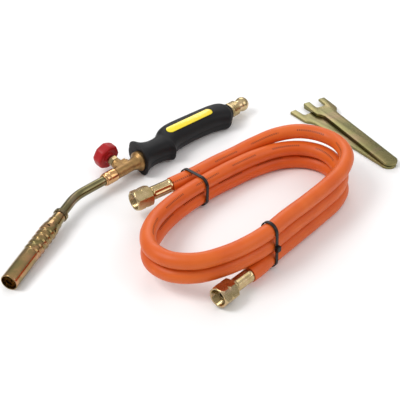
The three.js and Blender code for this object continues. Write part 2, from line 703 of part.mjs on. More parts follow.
/** A cable tie round the runs that cross the plane x, with its head at a [y, z] place. */
function cableTie(name, x, middles, head) {
  const inner = HOSE_R + TIE_SLACK;
  const outline = new THREE.Shape(bandOutline(middles, inner + TIE_THICKNESS));
  outline.holes.push(new THREE.Path(bandOutline(middles, inner)));
  const band = new THREE.ExtrudeGeometry(outline, { depth: TIE_WIDTH, bevelEnabled: false });
  const block = new THREE.BoxGeometry(head.size[0], head.size[1], TIE_WIDTH + 1.6);
  block.translate(head.at[0], head.at[1], TIE_WIDTH / 2);
  const shape = solid(band).add(solid(block));
  const geometry = geometryOf(shape);
  geometry.applyMatrix4(new THREE.Matrix4().set(0, 0, 1, 0, 1, 0, 0, 0, 0, 1, 0, 0, 0, 0, 0, 1));
  geometry.translate(x - TIE_WIDTH / 2, 0, 0);
  return part(name, geometry, MATERIALS.blackTie);
}

const TIE_1_X = -5;
const TIE_1_RUNS = [[-67.2, 25], [-84.7, 25], [-84.3, 9.6]];
const TIE_2_X = -32;
const TIE_2_RUNS = [[-193.8, 40.4], [-195, 10.1]];

function buildHoseSet() {
  const hoseSet = new THREE.Group();
  const curve = new THREE.CatmullRomCurve3(HOSE_ROUTE.map((p) => new THREE.Vector3(...p)));
  const tube = along(curve, HOSE_R, 0, HOSE_SIDES, HOSE_STEPS);
  hoseSet.add(part('gas_hose', tube, MATERIALS.orangeRubber));
  hoseSet.add(buildFitting('a', curve.getPoint(0), curve.getTangent(0).negate()));
  hoseSet.add(buildFitting('b', curve.getPoint(1), curve.getTangent(1)));
  const reach = HOSE_R + TIE_SLACK + TIE_THICKNESS;
  const headOnTie1 = { at: [-67.4 + reach + 0.6, 22], size: [3.4, 5.4] };
  const headOnTie2 = { at: [-194.4 - reach - 0.8, 25], size: [3.8, 5.4] };
  hoseSet.add(cableTie('cable_tie_1', TIE_1_X, TIE_1_RUNS, headOnTie1));
  hoseSet.add(cableTie('cable_tie_2', TIE_2_X, TIE_2_RUNS, headOnTie2));
  return hoseSet;
}

// ---------------------------------------------------------------- spanners

/** A flat fork spanner along x, with its round end at x = 0 and its prongs at the far end. */
function spannerGeometry() {
  const [handle, head, slot] = [SPANNER_HANDLE_W / 2, SPANNER_HEAD_W / 2, SPANNER_SLOT_W / 2];
  const tip = SPANNER_LENGTH;
  const floor = tip - SPANNER_SLOT_DEPTH;
  const outline = new THREE.Shape();
  outline.absarc(handle, 0, handle, Math.PI / 2, (3 * Math.PI) / 2, false);
  outline.lineTo(tip - SPANNER_NECK, -handle);
  outline.lineTo(tip - SPANNER_SHOULDER, -head);
  outline.lineTo(tip - 1, -head);
  outline.lineTo(tip, -head + 1);
  outline.lineTo(tip, -slot);
  outline.lineTo(floor + 2.5, -slot);
  outline.lineTo(floor, -slot + 2.5);
  outline.lineTo(floor, slot - 2.5);
  outline.lineTo(floor + 2.5, slot);
  outline.lineTo(tip, slot);
  outline.lineTo(tip, head - 1);
  outline.lineTo(tip - 1, head);
  outline.lineTo(tip - SPANNER_SHOULDER, head);
  outline.lineTo(tip - SPANNER_NECK, handle);
  const options = { depth: SPANNER_THICKNESS, bevelEnabled: false, curveSegments: 16 };
  return new THREE.ExtrudeGeometry(outline, options);
}

function buildSpanner(name, height, turn) {
  const spanner = part(name, spannerGeometry(), MATERIALS.passivatedSteel);
  spanner.position.set(...SPANNER_END, height);
  spanner.rotation.z = turn;
  return spanner;
}

// ---------------------------------------------------------------- kit

const kit = new THREE.Group();
kit.add(buildTorch(), buildHoseSet());
kit.add(buildSpanner('spanner_lower', 0, LOWER_SPANNER_TURN));
kit.add(buildSpanner('spanner_upper', SPANNER_THICKNESS + GAP, UPPER_SPANNER_TURN));
kit.position.set(-LAYOUT_MIDDLE[0], -LAYOUT_MIDDLE[1], 0);

export default kit;
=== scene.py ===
"""A gas torch with its coiled hose and two fork spanners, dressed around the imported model.

Meshes are made in millimetres in the frame of their own sub-assembly, then placed in the row
frame in metres. The hose comes first, then the torch from its burner to its inlet, then the
spanners.
"""
import logging
import math
from collections.abc import Callable, Sequence
from dataclasses import dataclass, field
from enum import Enum

import bmesh
import bpy
from mathutils import Matrix, Vector


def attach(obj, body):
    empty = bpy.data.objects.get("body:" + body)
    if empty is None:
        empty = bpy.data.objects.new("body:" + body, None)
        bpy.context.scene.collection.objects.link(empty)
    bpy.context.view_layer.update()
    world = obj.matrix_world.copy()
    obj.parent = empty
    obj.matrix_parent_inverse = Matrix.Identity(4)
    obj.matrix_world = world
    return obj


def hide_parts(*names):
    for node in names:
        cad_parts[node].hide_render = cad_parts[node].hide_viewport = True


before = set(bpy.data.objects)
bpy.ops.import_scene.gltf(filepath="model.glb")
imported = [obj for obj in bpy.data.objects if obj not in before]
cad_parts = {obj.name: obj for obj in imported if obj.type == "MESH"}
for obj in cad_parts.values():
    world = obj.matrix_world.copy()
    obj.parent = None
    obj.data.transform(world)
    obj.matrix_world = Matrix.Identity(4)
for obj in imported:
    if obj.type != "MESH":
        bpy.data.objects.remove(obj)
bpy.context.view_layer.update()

LOG = logging.getLogger("torch_kit")
MM = 0.001
GAP = 0.3                       # clearance between pieces that touch

Profile = list[tuple[float, float]]
Shaper = Callable[[float, float, float], float]


# ------------------------------------------------------------------ frames

LAYOUT_MIDDLE = Vector((8.58, -76.43, 0))
ROLL = math.radians(10)
PITCH = math.radians(0.65)
AXIS_HEIGHT = 14.29
BEND_X = -94.5
BEND_ANGLE = math.radians(22)
MOUTH_FROM_BEND = 130
NECK_FROM_BEND = 28
STEM_X = -28.5

KIT = Matrix.Translation(-LAYOUT_MIDDLE)
LYING = Matrix.Rotation(PITCH, 4, "Y") @ Matrix.Rotation(ROLL, 4, "X")
TORCH = KIT @ Matrix.Translation((0, 0, AXIS_HEIGHT)) @ LYING
MOUTH = Vector((
    BEND_X - MOUTH_FROM_BEND * math.cos(BEND_ANGLE), -MOUTH_FROM_BEND * math.sin(BEND_ANGLE), 0))
BURNER = TORCH @ Matrix.Translation(MOUTH) @ Matrix.Rotation(BEND_ANGLE, 4, "Z")
STEM = TORCH @ Matrix.Translation((STEM_X, 0, 0)) @ Matrix.Rotation(math.pi / 2, 4, "Z")


# ------------------------------------------------------------------ node and mesh helpers

def add(tree: bpy.types.NodeTree, kind: str, inputs: dict | None = None, **settings) -> bpy.types.Node:
    """Adds one node to a tree.

    Args:
        tree: the shader or geometry tree that gets it.
        kind: the node's type name.
        inputs: socket name or number to a value, or to the output that feeds it.
        settings: the node's own properties.

    Returns:
        The new node.
    """
    node = tree.nodes.new(kind)
    for name, value in settings.items():
        setattr(node, name, value)
    for socket, value in (inputs or {}).items():
        if isinstance(value, bpy.types.NodeSocket):
            tree.links.new(value, node.inputs[socket])
        else:
            node.inputs[socket].default_value = value
    return node


def linear(code: str) -> tuple[float, float, float, float]:
    """Turns an sRGB hex code into linear red, green, blue and an alpha of 1.

    Args:
        code: six hex digits.

    Returns:
        The four values that a colour socket takes.
    """
    values = [int(code[i:i + 2], 16) / 255 for i in (0, 2, 4)]
    return (*(v / 12.92 if v <= 0.04045 else ((v + 0.055) / 1.055) ** 2.4 for v in values), 1.0)


def mesh_object(name: str, points: Sequence, faces: Sequence) -> bpy.types.Object:
    """Makes a mesh with merged points and outward faces.

    Args:
        name: the object's name.
        points: its vertices in millimetres.
        faces: vertex numbers of each face.

    Returns:
        The new object, linked to the scene.
    """
    mesh = bpy.data.meshes.new(name)
    mesh.from_pydata([tuple(p) for p in points], [], faces)
    shape = bmesh.new()
    shape.from_mesh(mesh)
    bmesh.ops.remove_doubles(shape, verts=shape.verts, dist=1e-4)
    bmesh.ops.recalc_face_normals(shape, faces=shape.faces)
    shape.to_mesh(mesh)
    shape.free()
    obj = bpy.data.objects.new(name, mesh)
    bpy.context.scene.collection.objects.link(obj)
    return obj


def apply_modifiers(obj: bpy.types.Object) -> bpy.types.Object:
    """Replaces an object's mesh by what its modifiers make of it, and clears them.

    Args:
        obj: the object that carries the modifiers.

    Returns:
        The same object.
    """
    bpy.context.view_layer.update()
    evaluated = obj.evaluated_get(bpy.context.evaluated_depsgraph_get())
    made = bpy.data.meshes.new_from_object(evaluated)
    obj.modifiers.clear()
    obj.data = made
    return obj


def cut(obj: bpy.types.Object, *cutters: bpy.types.Object) -> bpy.types.Object:
    """Cuts other objects out of one and removes them.

    Args:
        obj: the object that is cut.
        cutters: closed shapes to take away.

    Returns:
        The same object, cut.
    """
    for cutter in cutters:
        boolean = obj.modifiers.new("cut", "BOOLEAN")
        boolean.operation = "DIFFERENCE"
        boolean.solver = "EXACT"
        boolean.object = cutter
    apply_modifiers(obj)
    for cutter in cutters:
        bpy.data.objects.remove(cutter)
    return obj


def bevel(obj: bpy.types.Object, width: float, segments: int = 2) -> bpy.types.Object:
    """Rounds an object's edges of more than 35 degrees.

    Args:
        obj: the object.
        width: how far an edge is taken back, in millimetres.
        segments: how many steps make the round.

    Returns:
        The same object.
    """
    edges = obj.modifiers.new("edges", "BEVEL")
    edges.width = width
    edges.segments = segments
    edges.limit_method = "ANGLE"
    edges.angle_limit = math.radians(35)
    return apply_modifiers(obj)


def softened(profile: Profile, radius: float) -> Profile:
    """Rounds the corners of a turned profile.

    Args:
        profile: x and radius pairs; the ends are left as they are.
        radius: how far each corner is taken back, in millimetres.

    Returns:
        The profile with four points for each corner.
    """
    rounded = [profile[0]]
    for before, corner, after in zip(profile, profile[1:], profile[2:]):
        a, b, c = Vector(before), Vector(corner), Vector(after)
        back = min(radius, (a - b).length * 0.45, (c - b).length * 0.45)
        if back < 1e-3 or (b - a).angle(c - b, 0) < math.radians(8):
            rounded.append(corner)
            continue
        start, end = b + (a - b).normalized() * back, b + (c - b).normalized() * back
        for t in (0, 1 / 3, 2 / 3, 1):
            point = start * (1 - t) ** 2 + b * 2 * t * (1 - t) + end * t ** 2
            rounded.append((point.x, point.y))
    return [*rounded, profile[-1]]


def dense(profile: Profile, step: float) -> Profile:
    """Adds points to a profile.

    Args:
        profile: x and radius pairs.
        step: the longest step that is left, in millimetres.

    Returns:
        The profile with the added points.
    """
    points = [profile[0]]
    for before, after in zip(profile, profile[1:]):
        count = max(1, math.ceil(math.dist(before, after) / step))
        for i in range(1, count + 1):
            t = i / count
            points.append((before[0] + (after[0] - before[0]) * t, before[1] + (after[1] - before[1]) * t))
    return points


def turned(name: str, profile: Profile, sides: int = 72, shape: Shaper | None = None) -> bpy.types.Object:
    """Makes a closed body round the x axis.

    Args:
        name: the object's name.
        profile: x and radius pairs that start and end on the axis, or where they started.
        sides: how many steps there are round the axis.
        shape: gives the radius from x, the profile's radius and the angle, for what isn't round.

    Returns:
        The new object.
    """
    points, faces = [], []
    for x, radius in profile:
        for i in range(sides):
            angle = 2 * math.pi * i / sides
            r = shape(x, radius, angle) if shape and radius > 0 else radius
            points.append((x, r * math.cos(angle), r * math.sin(angle)))
    for ring in range(len(profile) - 1):
        for i in range(sides):
            a, b = ring * sides + i, ring * sides + (i + 1) % sides
            faces.append((a, b, b + sides, a + sides))
    return mesh_object(name, points, faces)


def sleeve(outside: Profile, bore: float) -> Profile:
    """Closes an outside profile with a straight bore.

    Args:
        outside: x and radius pairs from front to back.
        bore: the bore's radius.

    Returns:
        A profile that ends where it starts.
    """
    first, last = outside[0][0], outside[-1][0]
    return [(first, bore), *outside, (last, bore), (first, bore)]


def soft_min(a: float, b: float, blend: float = 0.12) -> float:
    """The smaller of two radii, with the edge where they meet rounded off.

    Args:
        a: one radius.
        b: the other.
        blend: size of the rounding, in millimetres.

    Returns:
        The radius.
    """
    low, gap = min(a, b), abs(a - b)
    return low - blend * math.log1p(math.exp(-gap / blend))


def polygon_radius(angle: float, flats: int, across: float) -> float:
    """Radius of a regular polygon at an angle.

    Args:
        angle: the angle in radians.
        flats: how many sides it has.
        across: its size across flats.

    Returns:
        The radius.
    """
    turn = 2 * math.pi / flats
    return across / 2 / math.cos((angle % turn) - turn / 2)


def sweep_tree() -> bpy.types.NodeTree:
    """Builds the Geometry Nodes tree that sweeps a round section along a curve.

    Returns:
        A tree with the inputs Radius, Sides and Finish. The mesh it makes carries an attribute
        named lay: the length along the curve, and the cosine and sine of the angle round it.
    """
    tree = bpy.data.node_groups.new("round section along a path", "GeometryNodeTree")
    sockets = tree.interface
    sockets.new_socket("Geometry", in_out="INPUT", socket_type="NodeSocketGeometry")
    sockets.new_socket("Radius", in_out="INPUT", socket_type="NodeSocketFloat")
    sockets.new_socket("Sides", in_out="INPUT", socket_type="NodeSocketInt")
    sockets.new_socket("Finish", in_out="INPUT", socket_type="NodeSocketMaterial")
    sockets.new_socket("Geometry", in_out="OUTPUT", socket_type="NodeSocketGeometry")
    given = add(tree, "NodeGroupInput").outputs
    spline = add(tree, "GeometryNodeSplineParameter")
    path = add(tree, "GeometryNodeCaptureAttribute", domain="POINT")
    path.capture_items.new("FLOAT", "Length")
    tree.links.new(given["Geometry"], path.inputs[0])
    tree.links.new(spline.outputs["Length"], path.inputs[1])
    circle = add(tree, "GeometryNodeCurvePrimitiveCircle", {
        "Resolution": given["Sides"], "Radius": given["Radius"]})
    round_spline = add(tree, "GeometryNodeSplineParameter")
    section = add(tree, "GeometryNodeCaptureAttribute", domain="POINT")
    section.capture_items.new("FLOAT", "Factor")
    tree.links.new(circle.outputs[0], section.inputs[0])
    tree.links.new(round_spline.outputs["Factor"], section.inputs[1])
    tube = add(tree, "GeometryNodeCurveToMesh", {
        "Curve": path.outputs[0], "Profile Curve": section.outputs[0], "Fill Caps": True})
    angle = add(tree, "ShaderNodeMath", {0: section.outputs[1], 1: 2 * math.pi}, operation="MULTIPLY")
    cosine = add(tree, "ShaderNodeMath", {0: angle.outputs[0]}, operation="COSINE")
    sine = add(tree, "ShaderNodeMath", {0: angle.outputs[0]}, operation="SINE")
    lay = add(tree, "ShaderNodeCombineXYZ", {
        0: path.outputs[1], 1: cosine.outputs[0], 2: sine.outputs[0]})
    stored = add(tree, "GeometryNodeStoreNamedAttribute", {
        "Geometry": tube.outputs[0], "Name": "lay", "Value": lay.outputs[0]},
        data_type="FLOAT_VECTOR", domain="POINT")
    real = add(tree, "GeometryNodeRealizeInstances", {"Geometry": stored.outputs[0]})
    finish = add(tree, "GeometryNodeSetMaterial", {"Geometry": real.outputs[0], "Material": given["Finish"]})
    add(tree, "NodeGroupOutput", {"Geometry": finish.outputs[0]})
    return tree


def marks_tree() -> bpy.types.NodeTree:
    """Builds the Geometry Nodes tree that sets rings of small pressed marks round the x axis.

    Returns:
        A tree with the inputs Rings, First, Step, Count, Radius, Size and Finish.
    """
    tree = bpy.data.node_groups.new("rings of pressed marks", "GeometryNodeTree")
    sockets = tree.interface
    kinds = (("Rings", "Int"), ("First", "Float"), ("Step", "Float"), ("Count", "Int"),
             ("Radius", "Float"), ("Size", "Vector"), ("Finish", "Material"))
    sockets.new_socket("Geometry", in_out="INPUT", socket_type="NodeSocketGeometry")
    for name, kind in kinds:
        sockets.new_socket(name, in_out="INPUT", socket_type="NodeSocket" + kind)
    sockets.new_socket("Geometry", in_out="OUTPUT", socket_type="NodeSocketGeometry")
    given = add(tree, "NodeGroupInput").outputs
    start = add(tree, "ShaderNodeCombineXYZ", {0: given["First"]})
    step = add(tree, "ShaderNodeCombineXYZ", {0: given["Step"]})
    line = add(tree, "GeometryNodeMeshLine", {
        "Count": given["Rings"], "Start Location": start.outputs[0], "Offset": step.outputs[0]})
    ring = add(tree, "GeometryNodeMeshCircle", {"Vertices": given["Count"], "Radius": given["Radius"]})
    rings = add(tree, "GeometryNodeInstanceOnPoints", {
        "Points": line.outputs[0], "Instance": ring.outputs[0], "Rotation": (0, math.pi / 2, 0)})
    places = add(tree, "GeometryNodeRealizeInstances", {"Geometry": rings.outputs[0]})
    position = add(tree, "GeometryNodeInputPosition")
    outward = add(tree, "ShaderNodeVectorMath", {0: position.outputs[0], 1: (0, 1, 1)}, operation="MULTIPLY")
    turn = add(tree, "FunctionNodeAlignRotationToVector", {"Vector": outward.outputs[0]}, axis="Z")
    bead = add(tree, "GeometryNodeMeshCube", {"Size": (2.0, 2.0, 2.0)})
    marks = add(tree, "GeometryNodeInstanceOnPoints", {
        "Points": places.outputs[0], "Instance": bead.outputs[0],
        "Rotation": turn.outputs[0], "Scale": given["Size"]})
    real = add(tree, "GeometryNodeRealizeInstances", {"Geometry": marks.outputs[0]})
    finish = add(tree, "GeometryNodeSetMaterial", {"Geometry": real.outputs[0], "Material": given["Finish"]})
    add(tree, "NodeGroupOutput", {"Geometry": finish.outputs[0]})
    return tree


def run_tree(obj: bpy.types.Object, tree: bpy.types.NodeTree, name: str, **values) -> bpy.types.Object:
    """Runs a Geometry Nodes tree on an object and keeps the result as a plain mesh object.

    Args:
        obj: the curve or mesh that the tree starts from; it is removed.
        tree: the tree.
        name: the result's name.
        values: the tree's inputs by name.

    Returns:
        The new mesh object.
    """
    modifier = obj.modifiers.new("nodes", "NODES")
    modifier.node_group = tree
    for item in tree.interface.items_tree:
        if item.in_out == "INPUT" and item.name in values:
            modifier[item.identifier] = values[item.name]
    obj.update_tag()
    bpy.context.view_layer.update()
    evaluated = obj.evaluated_get(bpy.context.evaluated_depsgraph_get())
    mesh = bpy.data.meshes.new_from_object(evaluated)
    mesh.name = name
    bpy.data.objects.remove(obj)
    made = bpy.data.objects.new(name, mesh)
    bpy.context.scene.collection.objects.link(made)
    return made


def path_curve(name: str, points: Sequence[Vector]) -> bpy.types.Object:
    """Makes an open curve through points.

    Args:
        name: the object's name.
        points: the points in order.

    Returns:
        The new curve object.
    """
    data = bpy.data.curves.new(name, "CURVE")
    data.dimensions = "3D"
    spline = data.splines.new("POLY")
    spline.points.add(len(points) - 1)
    for point, place in zip(spline.points, points):
        point.co = (*place, 1)
    obj = bpy.data.objects.new(name, data)
    bpy.context.scene.collection.objects.link(obj)
    return obj


def placed(obj: bpy.types.Object, local: Matrix) -> bpy.types.Object:
    """Moves a mesh from a local frame in millimetres to the row frame in metres.

    Args:
        obj: the mesh object.
        local: the local frame.

    Returns:
        The same object.
    """
    obj.data.transform(Matrix.Scale(MM, 4) @ local)
    return obj


def finished(
    obj: bpy.types.Object, material: bpy.types.Material, slot: str, body: str, *nodes: str,
    crease: float = 40,
) -> bpy.types.Object:
    """Gives a placed mesh its material, its shading and its place among the bodies.

    Args:
        obj: a mesh in the row frame.
        material: its finish.
        slot: the name of a material slot; not used.
        body: the body it moves with.
        nodes: the plain nodes it stands for.
        crease: edges sharper than this many degrees stay sharp.

    Returns:
        The same object.
    """
    obj.data.materials.clear()
    obj.data.materials.append(material)
    obj.data.shade_smooth()
    obj.data.set_sharp_from_angle(angle=math.radians(crease))
    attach(obj, body)
    if nodes:
        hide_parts(*nodes)
    LOG.info("%s rides on %s, %d faces", obj.name, body, len(obj.data.polygons))
    return obj


# ------------------------------------------------------------------ finishes

class Kind(Enum):
    """What a finish is made of, with its metallic value."""

    METAL = 1.0
    POLYMER = 0.0


PATCH_RANGE = (0.36, 0.64)      # noise values between which the main tone turns into the second
STAIN_RANGE = (0.52, 0.7)       # and those over which a stain comes in
STAIN_SCALE = 0.43              # stains are larger than patches
GRAIN_RANGE = (0.3, 0.7)


@dataclass(frozen=True)
class Finish:
    """One surface finish. Pattern sizes are real sizes in millimetres."""

    name: str
    kind: Kind
    colour: str                       # the main tone
    second: str                       # the tone of its cloudy patches; on the plated burner and the zinc plate also a painted reflection colour
    third: str                        # the tone of its rarer stains; on the plated burner and the zinc plate also a painted highlight colour
    roughness: tuple[float, float]    # smoothest and roughest spots
    patch_mm: float                   # size of the patches
    grain_mm: float                   # size of the fine texture
    grain_depth_mm: float             # height of the fine texture
    grain_strength: float = 0.3
    stain: float = 0.5                # how far stains reach, from 0 to 1
    ior: float = 1.5
    coat: float = 0.0
    specular: float = 0.5

    def build(self) -> bpy.types.Material:
        """Builds the material from patches, stains and grain on Object coordinates.

        Returns:
            The new material.
        """
        material = bpy.data.materials.new(self.name)
        material.use_nodes = True
        tree = material.node_tree
        tree.nodes.clear()
        place = add(tree, "ShaderNodeTexCoord").outputs["Object"]
        patches = add(tree, "ShaderNodeTexNoise", {
            "Vector": place, "Scale": 1 / (self.patch_mm * MM), "Detail": 3.0, "Roughness": 0.55})
        ramp = add(tree, "ShaderNodeMapRange", {
            "Value": patches.outputs[0], "From Min": PATCH_RANGE[0], "From Max": PATCH_RANGE[1]})
        two = add(tree, "ShaderNodeMix", {
            0: ramp.outputs[0], 6: linear(self.colour), 7: linear(self.second)}, data_type="RGBA")
        stains = add(tree, "ShaderNodeTexNoise", {
            "Vector": place, "Scale": STAIN_SCALE / (self.patch_mm * MM), "Detail": 4.0, "Distortion": 1.2})
        reach = add(tree, "ShaderNodeMapRange", {
            "Value": stains.outputs[0], "From Min": STAIN_RANGE[0], "From Max": STAIN_RANGE[1],
            "To Max": self.stain})
        three = add(tree, "ShaderNodeMix", {
            0: reach.outputs[0], 6: two.outputs[2], 7: linear(self.third)}, data_type="RGBA")
        grain = add(tree, "ShaderNodeTexNoise", {
            "Vector": place, "Scale": 1 / (self.grain_mm * MM), "Detail": 5.0, "Roughness": 0.6})
        gloss = add(tree, "ShaderNodeMapRange", {
            "Value": grain.outputs[0], "From Min": GRAIN_RANGE[0], "From Max": GRAIN_RANGE[1],
            "To Min": self.roughness[0], "To Max": self.roughness[1]})
        bump = add(tree, "ShaderNodeBump", {
            "Height": grain.outputs[0], "Strength": self.grain_strength,
            "Distance": self.grain_depth_mm * MM})
        shader = add(tree, "ShaderNodeBsdfPrincipled", {
            "Base Color": three.outputs[2], "Roughness": gloss.outputs[0], "Normal": bump.outputs[0],
            "Metallic": self.kind.value, "IOR": self.ior, "Specular IOR Level": self.specular,
            "Coat Weight": self.coat, "Coat Roughness": 0.15})
        add(tree, "ShaderNodeOutputMaterial", {"Surface": shader.outputs[0]})
        return material


@dataclass(frozen=True)
class HoseRubber(Finish):
    """Extruded orange hose cover: a satin skin with fine lines along it and a row of dark ticks."""

    ink: str = "4a1c12"
    tick_mm: float = 2.3              # from one tick to the next
    tick_height_mm: float = 2.2
    tick_turn: float = -50.0          # where the ticks lie round the hose, in degrees
    group_mm: float = 52.0            # a group of ticks and the bare stretch after it
    line_mm: float = 0.55             # width of an extruded line
    line_depth_mm: float = 0.03
    line_strength: float = 0.35
    tick_share: float = 0.5           # of a tick's step that is inked
    group_share: float = 0.62         # of a group that carries ticks
    ink_strength: float = 0.75

    def build(self) -> bpy.types.Material:
        """Adds the lines and the ticks to the plain finish, from the attribute named lay.

        Returns:
            The new material.
        """
        material = Finish.build(self)
        tree = material.node_tree
        shader = next(n for n in tree.nodes if n.type == "BSDF_PRINCIPLED")
        lay = add(tree, "ShaderNodeAttribute", attribute_name="lay", attribute_type="GEOMETRY")
        parts = add(tree, "ShaderNodeSeparateXYZ", {0: lay.outputs["Vector"]}).outputs
        tick = add(tree, "ShaderNodeMath", {0: parts[0], 1: self.tick_mm * MM}, operation="DIVIDE")
        letter = add(tree, "ShaderNodeMath", {0: tick.outputs[0]}, operation="FRACT")
        narrow = add(tree, "ShaderNodeMath", {
            0: letter.outputs[0], 1: self.tick_share}, operation="LESS_THAN")
        group = add(tree, "ShaderNodeMath", {0: parts[0], 1: self.group_mm * MM}, operation="DIVIDE")
        within = add(tree, "ShaderNodeMath", {0: group.outputs[0]}, operation="FRACT")
        some = add(tree, "ShaderNodeMath", {0: within.outputs[0], 1: self.group_share}, operation="LESS_THAN")
        height = self.tick_height_mm / 2 / HOSE_R
        lean = math.radians(self.tick_turn)
        cos_part = add(tree, "ShaderNodeMath", {0: parts[1], 1: math.cos(lean)}, operation="MULTIPLY")
        facing = add(tree, "ShaderNodeMath", {
            0: parts[2], 1: math.sin(lean), 2: cos_part.outputs[0]}, operation="MULTIPLY_ADD")
        band = add(tree, "ShaderNodeMath", {
            0: facing.outputs[0], 1: math.cos(height)}, operation="GREATER_THAN")
        mask = narrow.outputs[0]
        for other in (some, band):
            both = add(tree, "ShaderNodeMath", {0: mask, 1: other.outputs[0]}, operation="MULTIPLY")
            mask = both.outputs[0]
        faded = add(tree, "ShaderNodeMath", {0: mask, 1: self.ink_strength}, operation="MULTIPLY")
        printed = add(tree, "ShaderNodeMix", {
            0: faded.outputs[0], 6: shader.inputs["Base Color"].links[0].from_socket,
            7: linear(self.ink)}, data_type="RGBA")
        tree.links.new(printed.outputs[2], shader.inputs["Base Color"])
        angle = add(tree, "ShaderNodeMath", {0: parts[2], 1: parts[1]}, operation="ARCTAN2")
        lines = 2 * math.pi * HOSE_R / self.line_mm
        wave = add(tree, "ShaderNodeMath", {0: angle.outputs[0], 1: round(lines)}, operation="MULTIPLY")
        ribs = add(tree, "ShaderNodeMath", {0: wave.outputs[0]}, operation="SINE")
        bump = add(tree, "ShaderNodeBump", {
            "Height": ribs.outputs[0], "Strength": self.line_strength, "Distance": self.line_depth_mm * MM,
            "Normal": shader.inputs["Normal"].links[0].from_socket})
        tree.links.new(bump.outputs[0], shader.inputs["Normal"])
        return material


HOSE_R = 7.5

FINISHES: dict[str, Finish] = {
    # drawn steel, brass plated and heat tinted: glossy, with olive and copper clouds laid at random that are
    # partly heat tint and partly painted reflection and painted highlight colour
    "burner_brass": Finish(
        "heat-tinted plated steel", Kind.METAL, "a8875c", "877a50", "c8916f", (0.12, 0.24),
        12, 0.5, 0.02, stain=0.8),
    # turned and buffed brass: the warmest and smoothest metal on the torch
    "polished_brass": Finish(
        "buffed brass", Kind.METAL, "d6ab7c", "c99a66", "e2b998", (0.12, 0.22), 9, 0.4, 0.02),
    # hot-stamped brass, tumbled: dull brown with a pebbled skin
    "forged_brass": Finish(
        "forged brass", Kind.METAL, "a98656", "92724a", "7c6342", (0.32, 0.55), 5, 0.7, 0.12,
        grain_strength=0.7),
    # bar brass cut on a lathe: pale, bright and slightly streaked
    "turned_brass": Finish(
        "lathe-turned brass", Kind.METAL, "c8b288", "b39e70", "d8b49c", (0.16, 0.3), 6, 0.35, 0.02),
    # bent steel tube with a yellow passivate over zinc: olive grey and shiny
    "plated_steel": Finish(
        "passivated steel tube", Kind.METAL, "7f7654", "6b6546", "a08a78", (0.14, 0.26), 18, 0.5, 0.02),
    # stamped steel plate with a yellow zinc passivate: olive gold with pink and green clouds laid at random
    # that are partly the passivate's own tint and partly painted highlight and painted reflection colour
    "passivated_steel": Finish(
        "yellow zinc steel plate", Kind.METAL, "8f8258", "7e7a50", "a07e6c", (0.22, 0.38), 22, 0.6, 0.03,
        stain=0.6),
    # plain stainless screw
    "stainless_steel": Finish(
        "stainless steel", Kind.METAL, "a2a29e", "8f8f8c", "b4b2ac", (0.2, 0.35), 4, 0.3, 0.01),
    # glass-filled nylon out of a spark-eroded mould: near black, with a fine satin grain
    "black_nylon": Finish(
        "moulded black nylon", Kind.POLYMER, "0e0d0f", "121113", "171618", (0.42, 0.58),
        26, 0.55, 0.06, grain_strength=0.45, ior=1.5, specular=0.22),
    # moulded red polypropylene: a soft gloss
    "red_plastic": Finish(
        "moulded red plastic", Kind.POLYMER, "aa1016", "9c0d13", "b51a1f", (0.34, 0.48), 8, 0.5, 0.03,
        ior=1.49, specular=0.35),
    # printed vinyl film: flat yellow under a thin clear coat
    "yellow_label": Finish(
        "yellow vinyl label", Kind.POLYMER, "f4df1c", "f0d41c", "f6e84a", (0.22, 0.32), 18, 0.6, 0.01,
        coat=0.4, ior=1.5),
    # sintered packing ring, white and waxy
    "ptfe": Finish(
        "white PTFE", Kind.POLYMER, "e8e6df", "dedcd4", "efeee8", (0.45, 0.6), 3, 0.3, 0.02, ior=1.35),
    # pressed nitrile seal: matt black
    "nitrile": Finish("black nitrile", Kind.POLYMER, "1b1b1b", "212121", "262626", (0.6, 0.75), 3, 0.3, 0.03),
    # extruded cable-tie nylon: dark with a slight sheen
    "black_tie": Finish(
        "black tie nylon", Kind.POLYMER, "120f0c", "171311", "1b1714", (0.35, 0.5), 6, 0.4, 0.02,
        specular=0.3),
    "orange_rubber": HoseRubber(
        "orange hose cover", Kind.POLYMER, "d9611c", "d15817", "dd6c26", (0.36, 0.5), 30, 0.7, 0.03,
        ior=1.5, stain=0.4, specular=0.35),
}


# ------------------------------------------------------------------ stage

